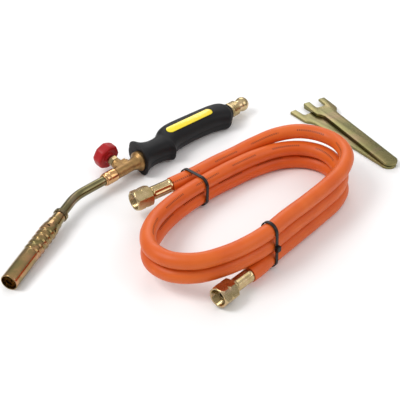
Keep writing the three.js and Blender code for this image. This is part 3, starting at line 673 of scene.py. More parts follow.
@dataclass
class Stage:
    """Pale floor, soft lights and the camera, in metres."""

    target: tuple[float, float, float] = (-0.00858, -0.00207, 0.0)
    azimuth: float = -46.9
    elevation: float = 36.0
    distance: float = 1.05
    lens: float = 95.0
    sensor: float = 36.0
    floor_size: float = 12.0
    sky: tuple[float, float] = (0.18, 0.8)      # strength of the surroundings, low and high up
    sky_heights: tuple[float, float] = (-0.1, 0.8)
    lights: list = field(default_factory=lambda: [
        # name, place, size, watts
        ("key", (-0.9, 0.5, 1.3), 0.7, 12.0),
        ("fill", (0.5, -1.1, 0.9), 0.9, 4.0),
        ("rim", (0.9, 0.9, 0.8), 0.7, 4.0),
    ])

    def camera(self) -> None:
        """Places the camera and makes it the scene's."""
        a, e = math.radians(self.azimuth), math.radians(self.elevation)
        back = Vector((math.sin(a) * math.cos(e), -math.cos(a) * math.cos(e), math.sin(e)))
        data = bpy.data.cameras.new("camera")
        data.lens, data.sensor_width = self.lens, self.sensor
        data.clip_start, data.clip_end = 0.02, 50
        obj = bpy.data.objects.new("camera", data)
        obj.location = Vector(self.target) + back * self.distance
        obj.rotation_euler = (-back).to_track_quat("-Z", "Y").to_euler()
        bpy.context.scene.collection.objects.link(obj)
        bpy.context.scene.camera = obj

    def surroundings(self) -> None:
        """Makes the floor, the soft boxes and the pale surroundings that metals reflect."""
        half = self.floor_size / 2
        corners = [(-half, -half, 0), (half, -half, 0), (half, half, 0), (-half, half, 0)]
        mesh = bpy.data.meshes.new("floor")
        mesh.from_pydata(corners, [], [(0, 1, 2, 3)])
        floor = bpy.data.objects.new("floor", mesh)
        bpy.context.scene.collection.objects.link(floor)
        paper = Finish("pale paper", Kind.POLYMER, "fafafa", "f7f7f7", "fbfbfb", (0.75, 0.9), 200, 2, 0.01)
        floor.data.materials.append(paper.build())
        for name, place, size, watts in self.lights:
            data = bpy.data.lights.new(name, "AREA")
            data.size, data.energy = size, watts
            lamp = bpy.data.objects.new(name, data)
            lamp.location = place
            lamp.rotation_euler = (-Vector(place)).to_track_quat("-Z", "Y").to_euler()
            bpy.context.scene.collection.objects.link(lamp)
        world = bpy.data.worlds.new("studio")
        world.use_nodes = True
        tree = world.node_tree
        tree.nodes.clear()
        place = add(tree, "ShaderNodeTexCoord").outputs["Generated"]
        height = add(tree, "ShaderNodeSeparateXYZ", {0: place}).outputs[2]
        ramp = add(tree, "ShaderNodeMapRange", {
            "Value": height, "From Min": self.sky_heights[0], "From Max": self.sky_heights[1],
            "To Min": self.sky[0], "To Max": self.sky[1]})
        light = add(tree, "ShaderNodeBackground", {"Color": (1, 1, 1, 1), "Strength": ramp.outputs[0]})
        add(tree, "ShaderNodeOutputWorld", {"Surface": light.outputs[0]})
        bpy.context.scene.world = world
        bpy.context.scene.view_settings.view_transform = "Standard"


# ------------------------------------------------------------------ hose set

# the hose's centre line on the layout sheet, in metres
HOSE_ROUTE = [
    (-0.0254, -0.0633, 0.024), (-0.0101, -0.0665, 0.0248), (0.0064, -0.0688, 0.0253),
    (0.0314, -0.0695, 0.0246), (0.0571, -0.0713, 0.0234), (0.082, -0.0776, 0.0272),
    (0.102, -0.0895, 0.034), (0.1185, -0.1065, 0.0383),
    (0.1275, -0.1265, 0.0391), (0.1275, -0.148, 0.0392), (0.115, -0.169, 0.0393), (0.092, -0.1815, 0.0393),
    (0.066, -0.187, 0.0394), (0.03, -0.19, 0.0395), (-0.006, -0.1915, 0.0399), (-0.032, -0.1938, 0.0404),
    (-0.058, -0.193, 0.041), (-0.084, -0.1876, 0.041), (-0.107, -0.1756, 0.04), (-0.1205, -0.156, 0.0387),
    (-0.1205, -0.134, 0.0373), (-0.107, -0.1145, 0.0345), (-0.084, -0.099, 0.031), (-0.056, -0.0895, 0.028),
    (-0.026, -0.085, 0.0258), (0.005, -0.0845, 0.0246), (0.038, -0.086, 0.0237), (0.07, -0.0905, 0.0232),
    (0.097, -0.0995, 0.023), (0.115, -0.115, 0.023), (0.122, -0.135, 0.023), (0.117, -0.156, 0.023),
    (0.102, -0.174, 0.0231), (0.08, -0.1845, 0.0233), (0.05, -0.1885, 0.0236), (0.01, -0.191, 0.0243),
    (-0.032, -0.194, 0.0252), (-0.058, -0.1932, 0.0258), (-0.084, -0.1878, 0.0258), (-0.107, -0.1758, 0.0246),
    (-0.1206, -0.157, 0.0232), (-0.1208, -0.1355, 0.0216), (-0.108, -0.116, 0.0188),
    (-0.085, -0.1015, 0.0154),
    (-0.056, -0.0905, 0.0123), (-0.026, -0.085, 0.0103), (0.005, -0.084, 0.0093), (0.038, -0.0865, 0.0083),
    (0.07, -0.091, 0.0078), (0.097, -0.1, 0.0077), (0.115, -0.115, 0.0077), (0.1225, -0.135, 0.0077),
    (0.118, -0.156, 0.0077), (0.103, -0.175, 0.0077), (0.08, -0.185, 0.0079), (0.05, -0.1885, 0.0083),
    (0.01, -0.1915, 0.0088), (-0.032, -0.195, 0.0101), (-0.05, -0.1981, 0.011), (-0.064, -0.1985, 0.0112),
]


def centripetal(points: Sequence[Vector], per_span: int) -> list[Vector]:
    """Runs a centripetal Catmull-Rom curve through points.

    Args:
        points: the points it passes through.
        per_span: how many steps there are between two of them.

    Returns:
        The points along the curve.
    """
    ends = [points[0] * 2 - points[1], *points, points[-1] * 2 - points[-2]]
    run = []
    for p0, p1, p2, p3 in zip(ends, ends[1:], ends[2:], ends[3:]):
        times = [0.0]
        for a, b in ((p0, p1), (p1, p2), (p2, p3)):
            times.append(times[-1] + math.sqrt((b - a).length))
        t0, t1, t2, t3 = times
        for i in range(per_span):
            t = t1 + (t2 - t1) * i / per_span
            a1 = p0 * ((t1 - t) / (t1 - t0)) + p1 * ((t - t0) / (t1 - t0))
            a2 = p1 * ((t2 - t) / (t2 - t1)) + p2 * ((t - t1) / (t2 - t1))
            a3 = p2 * ((t3 - t) / (t3 - t2)) + p3 * ((t - t2) / (t3 - t2))
            b1 = a1 * ((t2 - t) / (t2 - t0)) + a2 * ((t - t0) / (t2 - t0))
            b2 = a2 * ((t3 - t) / (t3 - t1)) + a3 * ((t - t1) / (t3 - t1))
            run.append(b1 * ((t2 - t) / (t2 - t1)) + b2 * ((t - t1) / (t2 - t1)))
    return [*run, points[-1].copy()]


@dataclass
class Fitting:
    """The crimped ferrule, tail and swivel nut on one end of the hose. x runs out of the hose."""

    letter: str
    local: Matrix
    ferrule_r: float = 6.8
    ferrule_length: float = 24.0
    flutes: int = 8
    nut_length: float = 18.0
    across_flats: float = 19.0
    bore_r: float = 7.8
    socket: float = 12.0
    tail_r: float = 4.6
    thread_pitch: float = 1.5

    def ferrule(self) -> bpy.types.Object:
        """Makes the ferrule: a sleeve squeezed in flats, with a rolled lip at each end.

        Returns:
            The new object.
        """
        x0, x1, r = GAP, self.ferrule_length, self.ferrule_r
        outside = [(x0, r - 0.5), (x0 + 0.5, r), (x1 - 1.6, r), (x1, r - 1.3)]

        def crimp(x: float, radius: float, angle: float) -> float:
            """Presses flats into the middle stretch, deepest at mid-length.

            Args:
                x: place along the axis.
                radius: the profile's radius there.
                angle: angle round the axis, in radians.

            Returns:
                The radius.
            """
            if radius < self.tail_r + 1 or not x0 + 2 < x < x1 - 2.2:
                return radius
            ease = min(1.0, (x - x0 - 2) / 1.2, (x1 - 2.2 - x) / 1.2)
            return radius - 0.75 * ease * (0.5 + 0.5 * math.cos(self.flutes * angle)) ** 0.7

        profile = dense(softened(sleeve(outside, self.tail_r + GAP), 0.3), 0.4)
        return turned(f"crimped_ferrule_{self.letter}", profile, 96, crimp)

    def tail(self) -> bpy.types.Object:
        """Makes the tail with the cone that seals against the inlet's round seat.

        Returns:
            The new object.
        """
        wall = self.ferrule_length + 1 + self.nut_length - self.socket
        outside = [
            (GAP, self.tail_r), (wall + GAP, self.tail_r), (wall + 1.4, 6.6),
            (wall + 3.4, 6.6), (wall + 6.4, 4.4),
        ]
        profile = softened([(GAP, 0), *outside, (wall + 6.4, 3), (wall - 8, 3), (wall - 8, 0)], 0.25)
        return turned(f"hose_tail_cone_{self.letter}", profile, 64)

    def nut(self) -> bpy.types.Object:
        """Makes the hexagonal nut: chamfered ends, a notch round its middle, a threaded socket.

        Returns:
            The new object.
        """
        x0 = self.ferrule_length + 1
        x1 = x0 + self.nut_length
        middle, corner = (x0 + x1) / 2, self.across_flats / math.sqrt(3)
        step = 0.22

        def limit(x: float) -> float:
            """Radius that the lathe leaves at x.

            Args:
                x: place along the axis.

            Returns:
                The radius.
            """
            ends = min(corner - 1.3 + (x - x0) * 1.1, corner - 1.9 + (x1 - x) * 0.95)
            notch = corner - 1.0 + abs(x - middle) * 0.7
            return min(corner + 0.1, ends, notch)

        def hexagon(x: float, radius: float, angle: float) -> float:
            """Cuts the flats outside and the thread inside.

            Args:
                x: place along the axis.
                radius: the profile's radius there.
                angle: angle round the axis, in radians.

            Returns:
                The radius.
            """
            if radius > self.across_flats / 2 - 1.0:
                return soft_min(polygon_radius(angle, 6, self.across_flats), limit(x))
            if abs(radius - self.bore_r) < 1e-3 and x > x1 - self.socket + 0.8:
                lead = (x / self.thread_pitch + angle / (2 * math.pi)) % 1
                return radius - 0.02 + 0.5 * (1 - abs(2 * lead - 1))
            return radius

        bottom = x1 - self.socket
        outside = dense([(x0, limit(x0)), (x1, limit(x1))], step)
        inside = dense([(x1, self.bore_r), (bottom, self.bore_r)], step)
        profile = [(x0, self.tail_r + GAP), *outside, (x1, self.bore_r + 0.5), *inside[1:],
                   (bottom, self.tail_r + GAP), (x0, self.tail_r + GAP)]
        return turned(f"swivel_nut_hexagon_{self.letter}", profile, 120, hexagon)

    def build(self, materials: dict[str, bpy.types.Material]) -> list[bpy.types.Object]:
        """Builds the fitting and returns its ferrule, tail and nut.

        Args:
            materials: the finishes by slot.

        Returns:
            The pieces made.
        """
        brass, made = materials["turned_brass"], []
        for obj, body, node in (
            (self.ferrule(), "hose", "ferrule"), (self.tail(), "hose", "hose_tail"),
            (self.nut(), f"nut_{self.letter}", "swivel_nut"),
        ):
            placed(obj, self.local)
            made.append(finished(obj, brass, "turned_brass", body, f"{node}_{self.letter}", crease=50))
        return made


@dataclass
class CableTie:
    """A nylon tie pulled round the hose's runs where they cross one plane of the layout sheet."""

    number: int
    x: float
    middles: list[tuple[float, float]]
    head_at: tuple[float, float]
    head_size: tuple[float, float]
    width: float = 3.6
    thickness: float = 1.1
    slack: float = 0.6

    def outline(self, radius: float) -> list[Vector]:
        """The band's closed line at a distance from the runs' middles.

        Args:
            radius: distance from the middles of the runs.

        Returns:
            The points of the outline.
        """
        points, count, steps = [], len(self.middles), 18
        for i, middle in enumerate(self.middles):
            before, after = self.middles[i - 1], self.middles[(i + 1) % count]
            into = math.atan2(middle[1] - before[1], middle[0] - before[0]) - math.pi / 2
            out = math.atan2(after[1] - middle[1], after[0] - middle[0]) - math.pi / 2
            while out < into - 1e-6:
                out += 2 * math.pi
            for k in range(steps + 1):
                angle = into + (out - into) * k / steps
                points.append(Vector((
                    middle[0] + radius * math.cos(angle), middle[1] + radius * math.sin(angle))))
        return points

    def band(self) -> bpy.types.Object:
        """Makes the flat band with rounded edges.

        Returns:
            The new object.
        """
        inner = self.outline(HOSE_R + self.slack)
        outer = self.outline(HOSE_R + self.slack + self.thickness)
        half, edge = self.width / 2, 0.3
        points, faces = [], []
        section = [(0, -half + edge), (0, half - edge), (edge, half), (1 - edge, half),
                   (1, half - edge), (1, -half + edge), (1 - edge, -half), (edge, -half)]
        for a, b in zip(inner, outer):
            for depth, side in section:
                point = a.lerp(b, depth)
                points.append((self.x + side, point.x, point.y))
        size, rings = len(section), len(inner)
        for ring in range(rings):
            for i in range(size):
                a, b = ring * size + i, ring * size + (i + 1) % size
                c, d = ((ring + 1) % rings) * size + (i + 1) % size, ((ring + 1) % rings) * size + i
                faces.append((a, b, c, d))
        return mesh_object(f"tie_band_{self.number}", points, faces)

    def head(self) -> bpy.types.Object:
        """Makes the head block with its rounded edges.

        Returns:
            The new object.
        """
        block = box_object(
            f"tie_head_{self.number}", (self.x, *self.head_at), (self.width + 1.6, *self.head_size))
        return bevel(block, 0.5, 3)

    def build(self, materials: dict[str, bpy.types.Material]) -> list[bpy.types.Object]:
        """Builds the tie and returns its band and head.

        Args:
            materials: the finishes by slot.

        Returns:
            The pieces made.
        """
        black = materials["black_tie"]
        band, head = placed(self.band(), KIT), placed(self.head(), KIT)
        return [
            finished(band, black, "black_tie", "hose", f"cable_tie_{self.number}"),
            finished(head, black, "black_tie", "hose"),
        ]


def box_object(name: str, middle: Sequence[float], size: Sequence[float]) -> bpy.types.Object:
    """Makes a box from its middle and size.

    Args:
        name: the object's name.
        middle: its middle.
        size: its three sides.

    Returns:
        The new object.
    """
    corners = [(sx, sy, sz) for sx in (-0.5, 0.5) for sy in (-0.5, 0.5) for sz in (-0.5, 0.5)]
    points = [tuple(m + s * c for m, s, c in zip(middle, size, corner)) for corner in corners]
    faces = [(0, 1, 3, 2), (4, 6, 7, 5), (0, 4, 5, 1), (2, 3, 7, 6), (0, 2, 6, 4), (1, 5, 7, 3)]
    return mesh_object(name, points, faces)


@dataclass
class HoseSet:
    """The coiled gas hose, its two fittings and the ties that hold the coil."""

    sides: int = 36
    steps: int = 12                   # between two points of the route
    length: float = 1.5911            # metres

    def build(self, materials: dict[str, bpy.types.Material]) -> None:
        """Sweeps the hose along its route and adds what is on it.

        Args:
            materials: the finishes by slot.
        """
        shift = -LAYOUT_MIDDLE * MM
        line = centripetal([Vector(p) + shift for p in HOSE_ROUTE], self.steps)
        curve = path_curve("hose_line", line)
        hose = run_tree(
            curve, sweep_tree(), "gas_hose_cover",
            Radius=HOSE_R * MM, Sides=self.sides, Finish=materials["orange_rubber"])
        finished(hose, materials["orange_rubber"], "orange_rubber", "hose", "gas_hose", crease=60)
        going = []
        for letter, end, next_to in (("a", line[0], line[1]), ("b", line[-1], line[-2])):
            towards = (end - next_to).normalized()
            turn = Vector((1, 0, 0)).rotation_difference(towards).to_matrix().to_4x4()
            going += Fitting(letter, Matrix.Translation(end / MM) @ turn).build(materials)
        reach = HOSE_R + 0.6 + 1.1
        ties = (
            CableTie(1, -5, [(-67.2, 25), (-84.7, 25), (-84.3, 9.6)], (-67.4 + reach + 0.6, 22), (3.4, 5.4)),
            CableTie(2, -32, [(-193.8, 40.4), (-195, 10.1)], (-194.4 - reach - 0.8, 25), (3.8, 5.4)),
        )
        for tie in ties:
            going += tie.build(materials)


# ------------------------------------------------------------------ torch

@dataclass
class BurnerEnd:
    """Burner tube, flame holder, jet holder and lock ring. x runs from the mouth up the axis."""

    radius: float = 8.3
    wall: float = 0.9
    first_groove: float = 41.0
    groove_step: float = 7.0
    grooves: int = 5
    groove_depth: float = 0.7
    cone: tuple[float, float] = (78.0, 84.0)
    neck_r: float = 6.2
    tube_r: float = 4.75
    air_hole_x: float = 73.5
    air_hole_r: float = 2.0
    scallops: int = 10
    holder_bore_r: float = 3.2
    teeth: int = 12

    def tube(self) -> bpy.types.Object:
        """Makes the drawn tube with its pressed grooves and drilled air holes.

        Returns:
            The new object.
        """
        inside, back = self.radius - self.wall, self.neck_r + GAP
        end = self.cone[1] + 4
        outside = [(0, self.radius - 0.4), (0.4, self.radius)]
        for i in range(self.grooves):
            x = self.first_groove + i * self.groove_step
            outside += [(x - 1.3, self.radius), (x, self.radius - self.groove_depth), (x + 1.3, self.radius)]
        outside += [(self.cone[0], self.radius), (self.cone[1], self.neck_r + 0.9), (end, self.neck_r + 0.9)]
        bore = [(end, back), (self.cone[1], back), (self.cone[0], inside), (0, inside)]
        profile = [*outside, *bore, outside[0]]
        tube = turned("burner_barrel", softened(profile, 0.6), 96)
        drills = []
        for i in range(3):
            hole_r, reach = self.air_hole_r, self.radius + 2.7
            drill = turned(f"drill_{i}", [(-reach, 0), (-reach, hole_r), (reach, hole_r), (reach, 0)], 32)
            across = Matrix.Rotation(i * math.pi / 3, 4, "X") @ Matrix.Rotation(math.pi / 2, 4, "Y")
            drill.data.transform(Matrix.Translation((self.air_hole_x, 0, 0)) @ across)
            drills.append(drill)
        return cut(tube, *drills)

    def marks(self, material: bpy.types.Material) -> bpy.types.Object:
        """Makes the pressed beads that stand between the grooves.

        Args:
            material: their finish.

        Returns:
            The new object.
        """
        seed = mesh_object("marks_seed", [(0, 0, 0)], [])
        return run_tree(
            seed, marks_tree(), "burner_pressed_beads", Rings=self.grooves,
            First=self.first_groove + self.groove_step / 2, Step=self.groove_step, Count=6,
            Radius=self.radius - 0.15, Size=(1.1, 2.0, 0.32), Finish=material)

    def holder(self) -> bpy.types.Object:
        """Makes the scalloped flame holder that sits inside the mouth.

        Returns:
            The new object.
        """
        outer = self.radius - self.wall - GAP

        def scallop(x: float, radius: float, angle: float) -> float:
            """Takes a round bite out of the rim at each scallop.

            Args:
                x: place along the axis.
                radius: the profile's radius there.
                angle: angle round the axis, in radians.

            Returns:
                The radius.
            """
            if radius < outer - 1:
                return radius
            return radius - 1.3 * max(0.0, math.cos(self.scallops * angle)) ** 1.5

        outside = dense([(9, outer - 0.3), (9.3, outer), (17, outer)], 1.0)
        return turned("flame_holder_ring", sleeve(outside, self.holder_bore_r), 120, scallop)

    def neck(self) -> bpy.types.Object:
        """Makes the smooth holder that the burner slides onto.

        Returns:
            The new object.
        """
        ring_x = MOUTH_FROM_BEND - NECK_FROM_BEND
        outside = [(80, self.neck_r), (ring_x - 4.4, self.neck_r), (ring_x - 4.4, self.neck_r - 1),
                   (ring_x - GAP, self.neck_r - 1)]
        return turned("burner_jet_holder", softened(sleeve(outside, self.tube_r + GAP), 0.3), 64)

    def ring(self) -> bpy.types.Object:
        """Makes the toothed lock ring.

        Returns:
            The new object.
        """
        ring_x, outer = MOUTH_FROM_BEND - NECK_FROM_BEND, self.neck_r + 1

        def tooth(x: float, radius: float, angle: float) -> float:
            """Cuts a slot between the teeth.

            Args:
                x: place along the axis.
                radius: the profile's radius there.
                angle: angle round the axis, in radians.

            Returns:
                The radius.
            """
            if radius < outer - 0.7:
                return radius
            return radius - 0.6 * max(0.0, min(1.0, 4 * math.cos(self.teeth * angle) - 2.4))

        outside = [(ring_x - 4, outer - 0.3), (ring_x - 3.7, outer), (ring_x - 0.3, outer),
                   (ring_x, outer - 0.3)]
        profile = dense(sleeve(outside, self.neck_r - 1 + GAP), 0.8)
        return turned("toothed_lock_ring", profile, 144, tooth)

    def build(self, materials: dict[str, bpy.types.Material]) -> None:
        """Builds and places the burner's pieces.

        Args:
            materials: the finishes by slot.
        """
        brass, turned_brass = materials["burner_brass"], materials["turned_brass"]
        for obj, material, slot, nodes in (
            (self.tube(), brass, "burner_brass", ("burner_tube",)),
            (self.marks(brass), brass, "burner_brass", ()),
            (self.holder(), turned_brass, "turned_brass", ("flame_holder",)),
            (self.neck(), brass, "burner_brass", ("burner_neck",)),
            (self.ring(), materials["plated_steel"], "plated_steel", ("lock_ring",)),
        ):
            finished(placed(obj, BURNER), material, slot, "torch", *nodes)


@dataclass
class Neck:
    """The bent tube between the burner and the valve, with the collar that clamps it."""

    radius: float = 4.75
    bend_reach: float = 11.0
    collar: tuple[float, float] = (-57.0, -41.0)
    collar_r: float = 6.6

    def line(self) -> list[Vector]:
        """The tube's centre line: straight, bent, straight.

        Returns:
            The points of the line.
        """
        away = Vector((-math.cos(BEND_ANGLE), -math.sin(BEND_ANGLE), 0))
        corner = Vector((BEND_X, 0, 0))
        into, out = corner + Vector((self.bend_reach, 0, 0)), corner + away * self.bend_reach
        bend = [into * (1 - t) ** 2 + corner * 2 * t * (1 - t) + out * t ** 2
                for t in (i / 24 for i in range(25))]
        return [Vector((self.collar[0] + 9, 0, 0)), *bend, corner + away * (NECK_FROM_BEND + 10)]

    def build(self, materials: dict[str, bpy.types.Material]) -> None:
        """Builds the tube, the collar and its seal.

        Args:
            materials: the finishes by slot.
        """
        steel = materials["plated_steel"]
        tube = run_tree(
            path_curve("neck_line", self.line()), sweep_tree(), "bent_neck_tube",
            Radius=self.radius, Sides=64, Finish=steel)
        finished(placed(tube, TORCH), steel, "plated_steel", "torch", "neck_tube", crease=60)
        front, back, r = *self.collar, self.collar_r
        outside = [(front + 1.6, r - 0.8), (front + 2.4, r), (front + 5.6, r), (front + 6.0, r - 0.35),
                   (front + 6.6, r - 0.35), (front + 7.0, r), (back - 0.8, r), (back, r - 0.6)]
        collar = turned("polished_collar", softened(sleeve(outside, self.radius + GAP), 0.25), 80)
        finished(placed(collar, TORCH), materials["polished_brass"], "polished_brass", "torch", "neck_collar")
        ring = turned("collar_seal", softened(sleeve(
            [(front, r - 1.2), (front + 0.5, r - 0.6), (front + 1.3, r - 0.6)], self.radius + GAP), 0.2), 64)
        finished(placed(ring, TORCH), materials["polished_brass"], "polished_brass", "torch", "collar_ring")


@dataclass
class Valve:
    """The forged valve body, its gland nut and the knob on the stem."""

    barrel_r: float = 6.0
    flange_r: float = 10.5
    spigot_end: float = 16.0
    boss_top: float = 13.0
    boss_r: float = 5.6
    block_size: tuple[float, float, float] = (15, 8.4, 11)
    ear_size: tuple[float, float, float] = (4, 5.4, 8)
    skin_voxel: float = 0.42          # mesh size of the forging's skin
    gland_across_flats: float = 10.0
    gland_top: float = 19.0
    knob: tuple[float, float] = (20.6, 33.6)
    knob_r: float = 13.6
    stem_r: float = 2.3

    def body(self) -> bpy.types.Object:
        """Makes the forging: barrel, block, ear and boss, run into each other with soft edges.

        Returns:
            The new object.
        """
        barrel = turned("valve_forging", [
            (-40.7, 0), (-40.7, self.barrel_r), (-18, self.barrel_r), (-12, self.barrel_r + 1.8),
            (-9.4, self.flange_r), (-5.2, self.flange_r), (-5.2, 6), (self.spigot_end, 6),
            (self.spigot_end, 0)], 64)
        top, r = self.boss_top, self.boss_r
        boss = turned("boss", [(0, 0), (0, r), (top, r), (top, 0)], 64)
        boss.data.transform(Matrix.Translation((STEM_X, 0, 0)) @ Matrix.Rotation(math.pi / 2, 4, "Z"))
        block = box_object("block", (STEM_X, self.block_size[1] / 2, 0), self.block_size)
        ear = box_object("ear", (STEM_X + 8.2, 4.7, 0), self.ear_size)
        mesh = bmesh.new()
        for obj in (barrel, boss, block, ear):
            mesh.from_mesh(obj.data)
        mesh.to_mesh(barrel.data)
        mesh.free()
        for obj in (boss, block, ear):
            bpy.data.objects.remove(obj)
        skin = barrel.modifiers.new("skin", "REMESH")
        skin.mode = "VOXEL"
        skin.voxel_size = self.skin_voxel
        soft = barrel.modifiers.new("soft", "SMOOTH")
        soft.factor, soft.iterations = 0.5, 5
        return apply_modifiers(barrel)

    def gland(self) -> bpy.types.Object:
        """Makes the small hexagonal gland nut.

        Returns:
            The new object.
        """
        bottom, top = self.boss_top + GAP, self.gland_top

        def hexagon(x: float, radius: float, angle: float) -> float:
            """Cuts the flats under a lathe-turned chamfer.

            Args:
                x: place along the axis.
                radius: the profile's radius there.
                angle: angle round the axis, in radians.

            Returns:
                The radius.
            """
            if radius < 4:
                return radius
            return soft_min(polygon_radius(angle, 6, self.gland_across_flats), 4.8 + (top - x) * 0.9, 0.08)

        outside = dense([(bottom, 5.6), (top, 5.6)], 0.3)
        return turned("gland_hexagon", sleeve(outside, self.stem_r + GAP), 120, hexagon)

    def handwheel(self) -> bpy.types.Object:
        """Makes the knob: eight rounded flats, a hub below and a sunk seat for the screw.

        Returns:
            The new object.
        """
        low, high, r = *self.knob, self.knob_r
        profile = [
            (low, 2.6), (low, 5.4), (low + 1.4, 5.6), (low + 0.9, r - 2.6), (low + 1.6, r - 0.7),
            (low + 3.2, r), (high - 3.2, r), (high - 1, r - 1), (high, r - 3.2), (high, 4.6),
            (high - 0.4, 4.2), (high - 0.4, 3.6), (high - 2, 3.4), (high - 2, 0)]
        profile = [(low + 6, 0), (low + 6, 2.6), *profile]

        def flats(x: float, radius: float, angle: float) -> float:
            """Flattens the rim into eight sides with round corners.

            Args:
                x: place along the axis.
                radius: the profile's radius there.
                angle: angle round the axis, in radians.

            Returns:
                The radius.
            """
            if radius < 9:
                return radius
            flat = polygon_radius(angle, 8, 2 * self.knob_r * 0.953)
            return radius * soft_min(flat, self.knob_r, 0.35) / self.knob_r

        return turned("red_handwheel", dense(softened(profile, 0.5), 0.8), 144, flats)

    def screw(self) -> bpy.types.Object:
        """Makes the cheese-head screw with its slot.

        Returns:
            The new object.
        """
        top = self.knob[1] - 0.1
        seat = self.knob[1] - 2 + GAP
        profile = [(seat - 5, 0), (seat - 5, 1.1), (seat, 1.1), (seat, 3), (top - 0.5, 3), (top, 2.3),
                   (top, 0)]
        screw = turned("knob_cheese_head", softened(profile, 0.2), 48)
        return cut(screw, box_object("slot", (top, 0, 0), (1.2, 7, 0.8)))

    def build(self, materials: dict[str, bpy.types.Material]) -> None:
        """Builds and places the valve's pieces.

        Args:
            materials: the finishes by slot.
        """
        for obj, local, slot, body, node, crease in (
            (self.body(), TORCH, "forged_brass", "torch", "valve_body", 80),
            (self.gland(), STEM, "turned_brass", "torch", "gland_nut", 40),
            (self.handwheel(), STEM, "red_plastic", "knob", "control_knob", 40),
            (self.screw(), STEM, "stainless_steel", "knob", "knob_screw", 40),
        ):
            finished(placed(obj, local), materials[slot], slot, body, node, crease=crease)


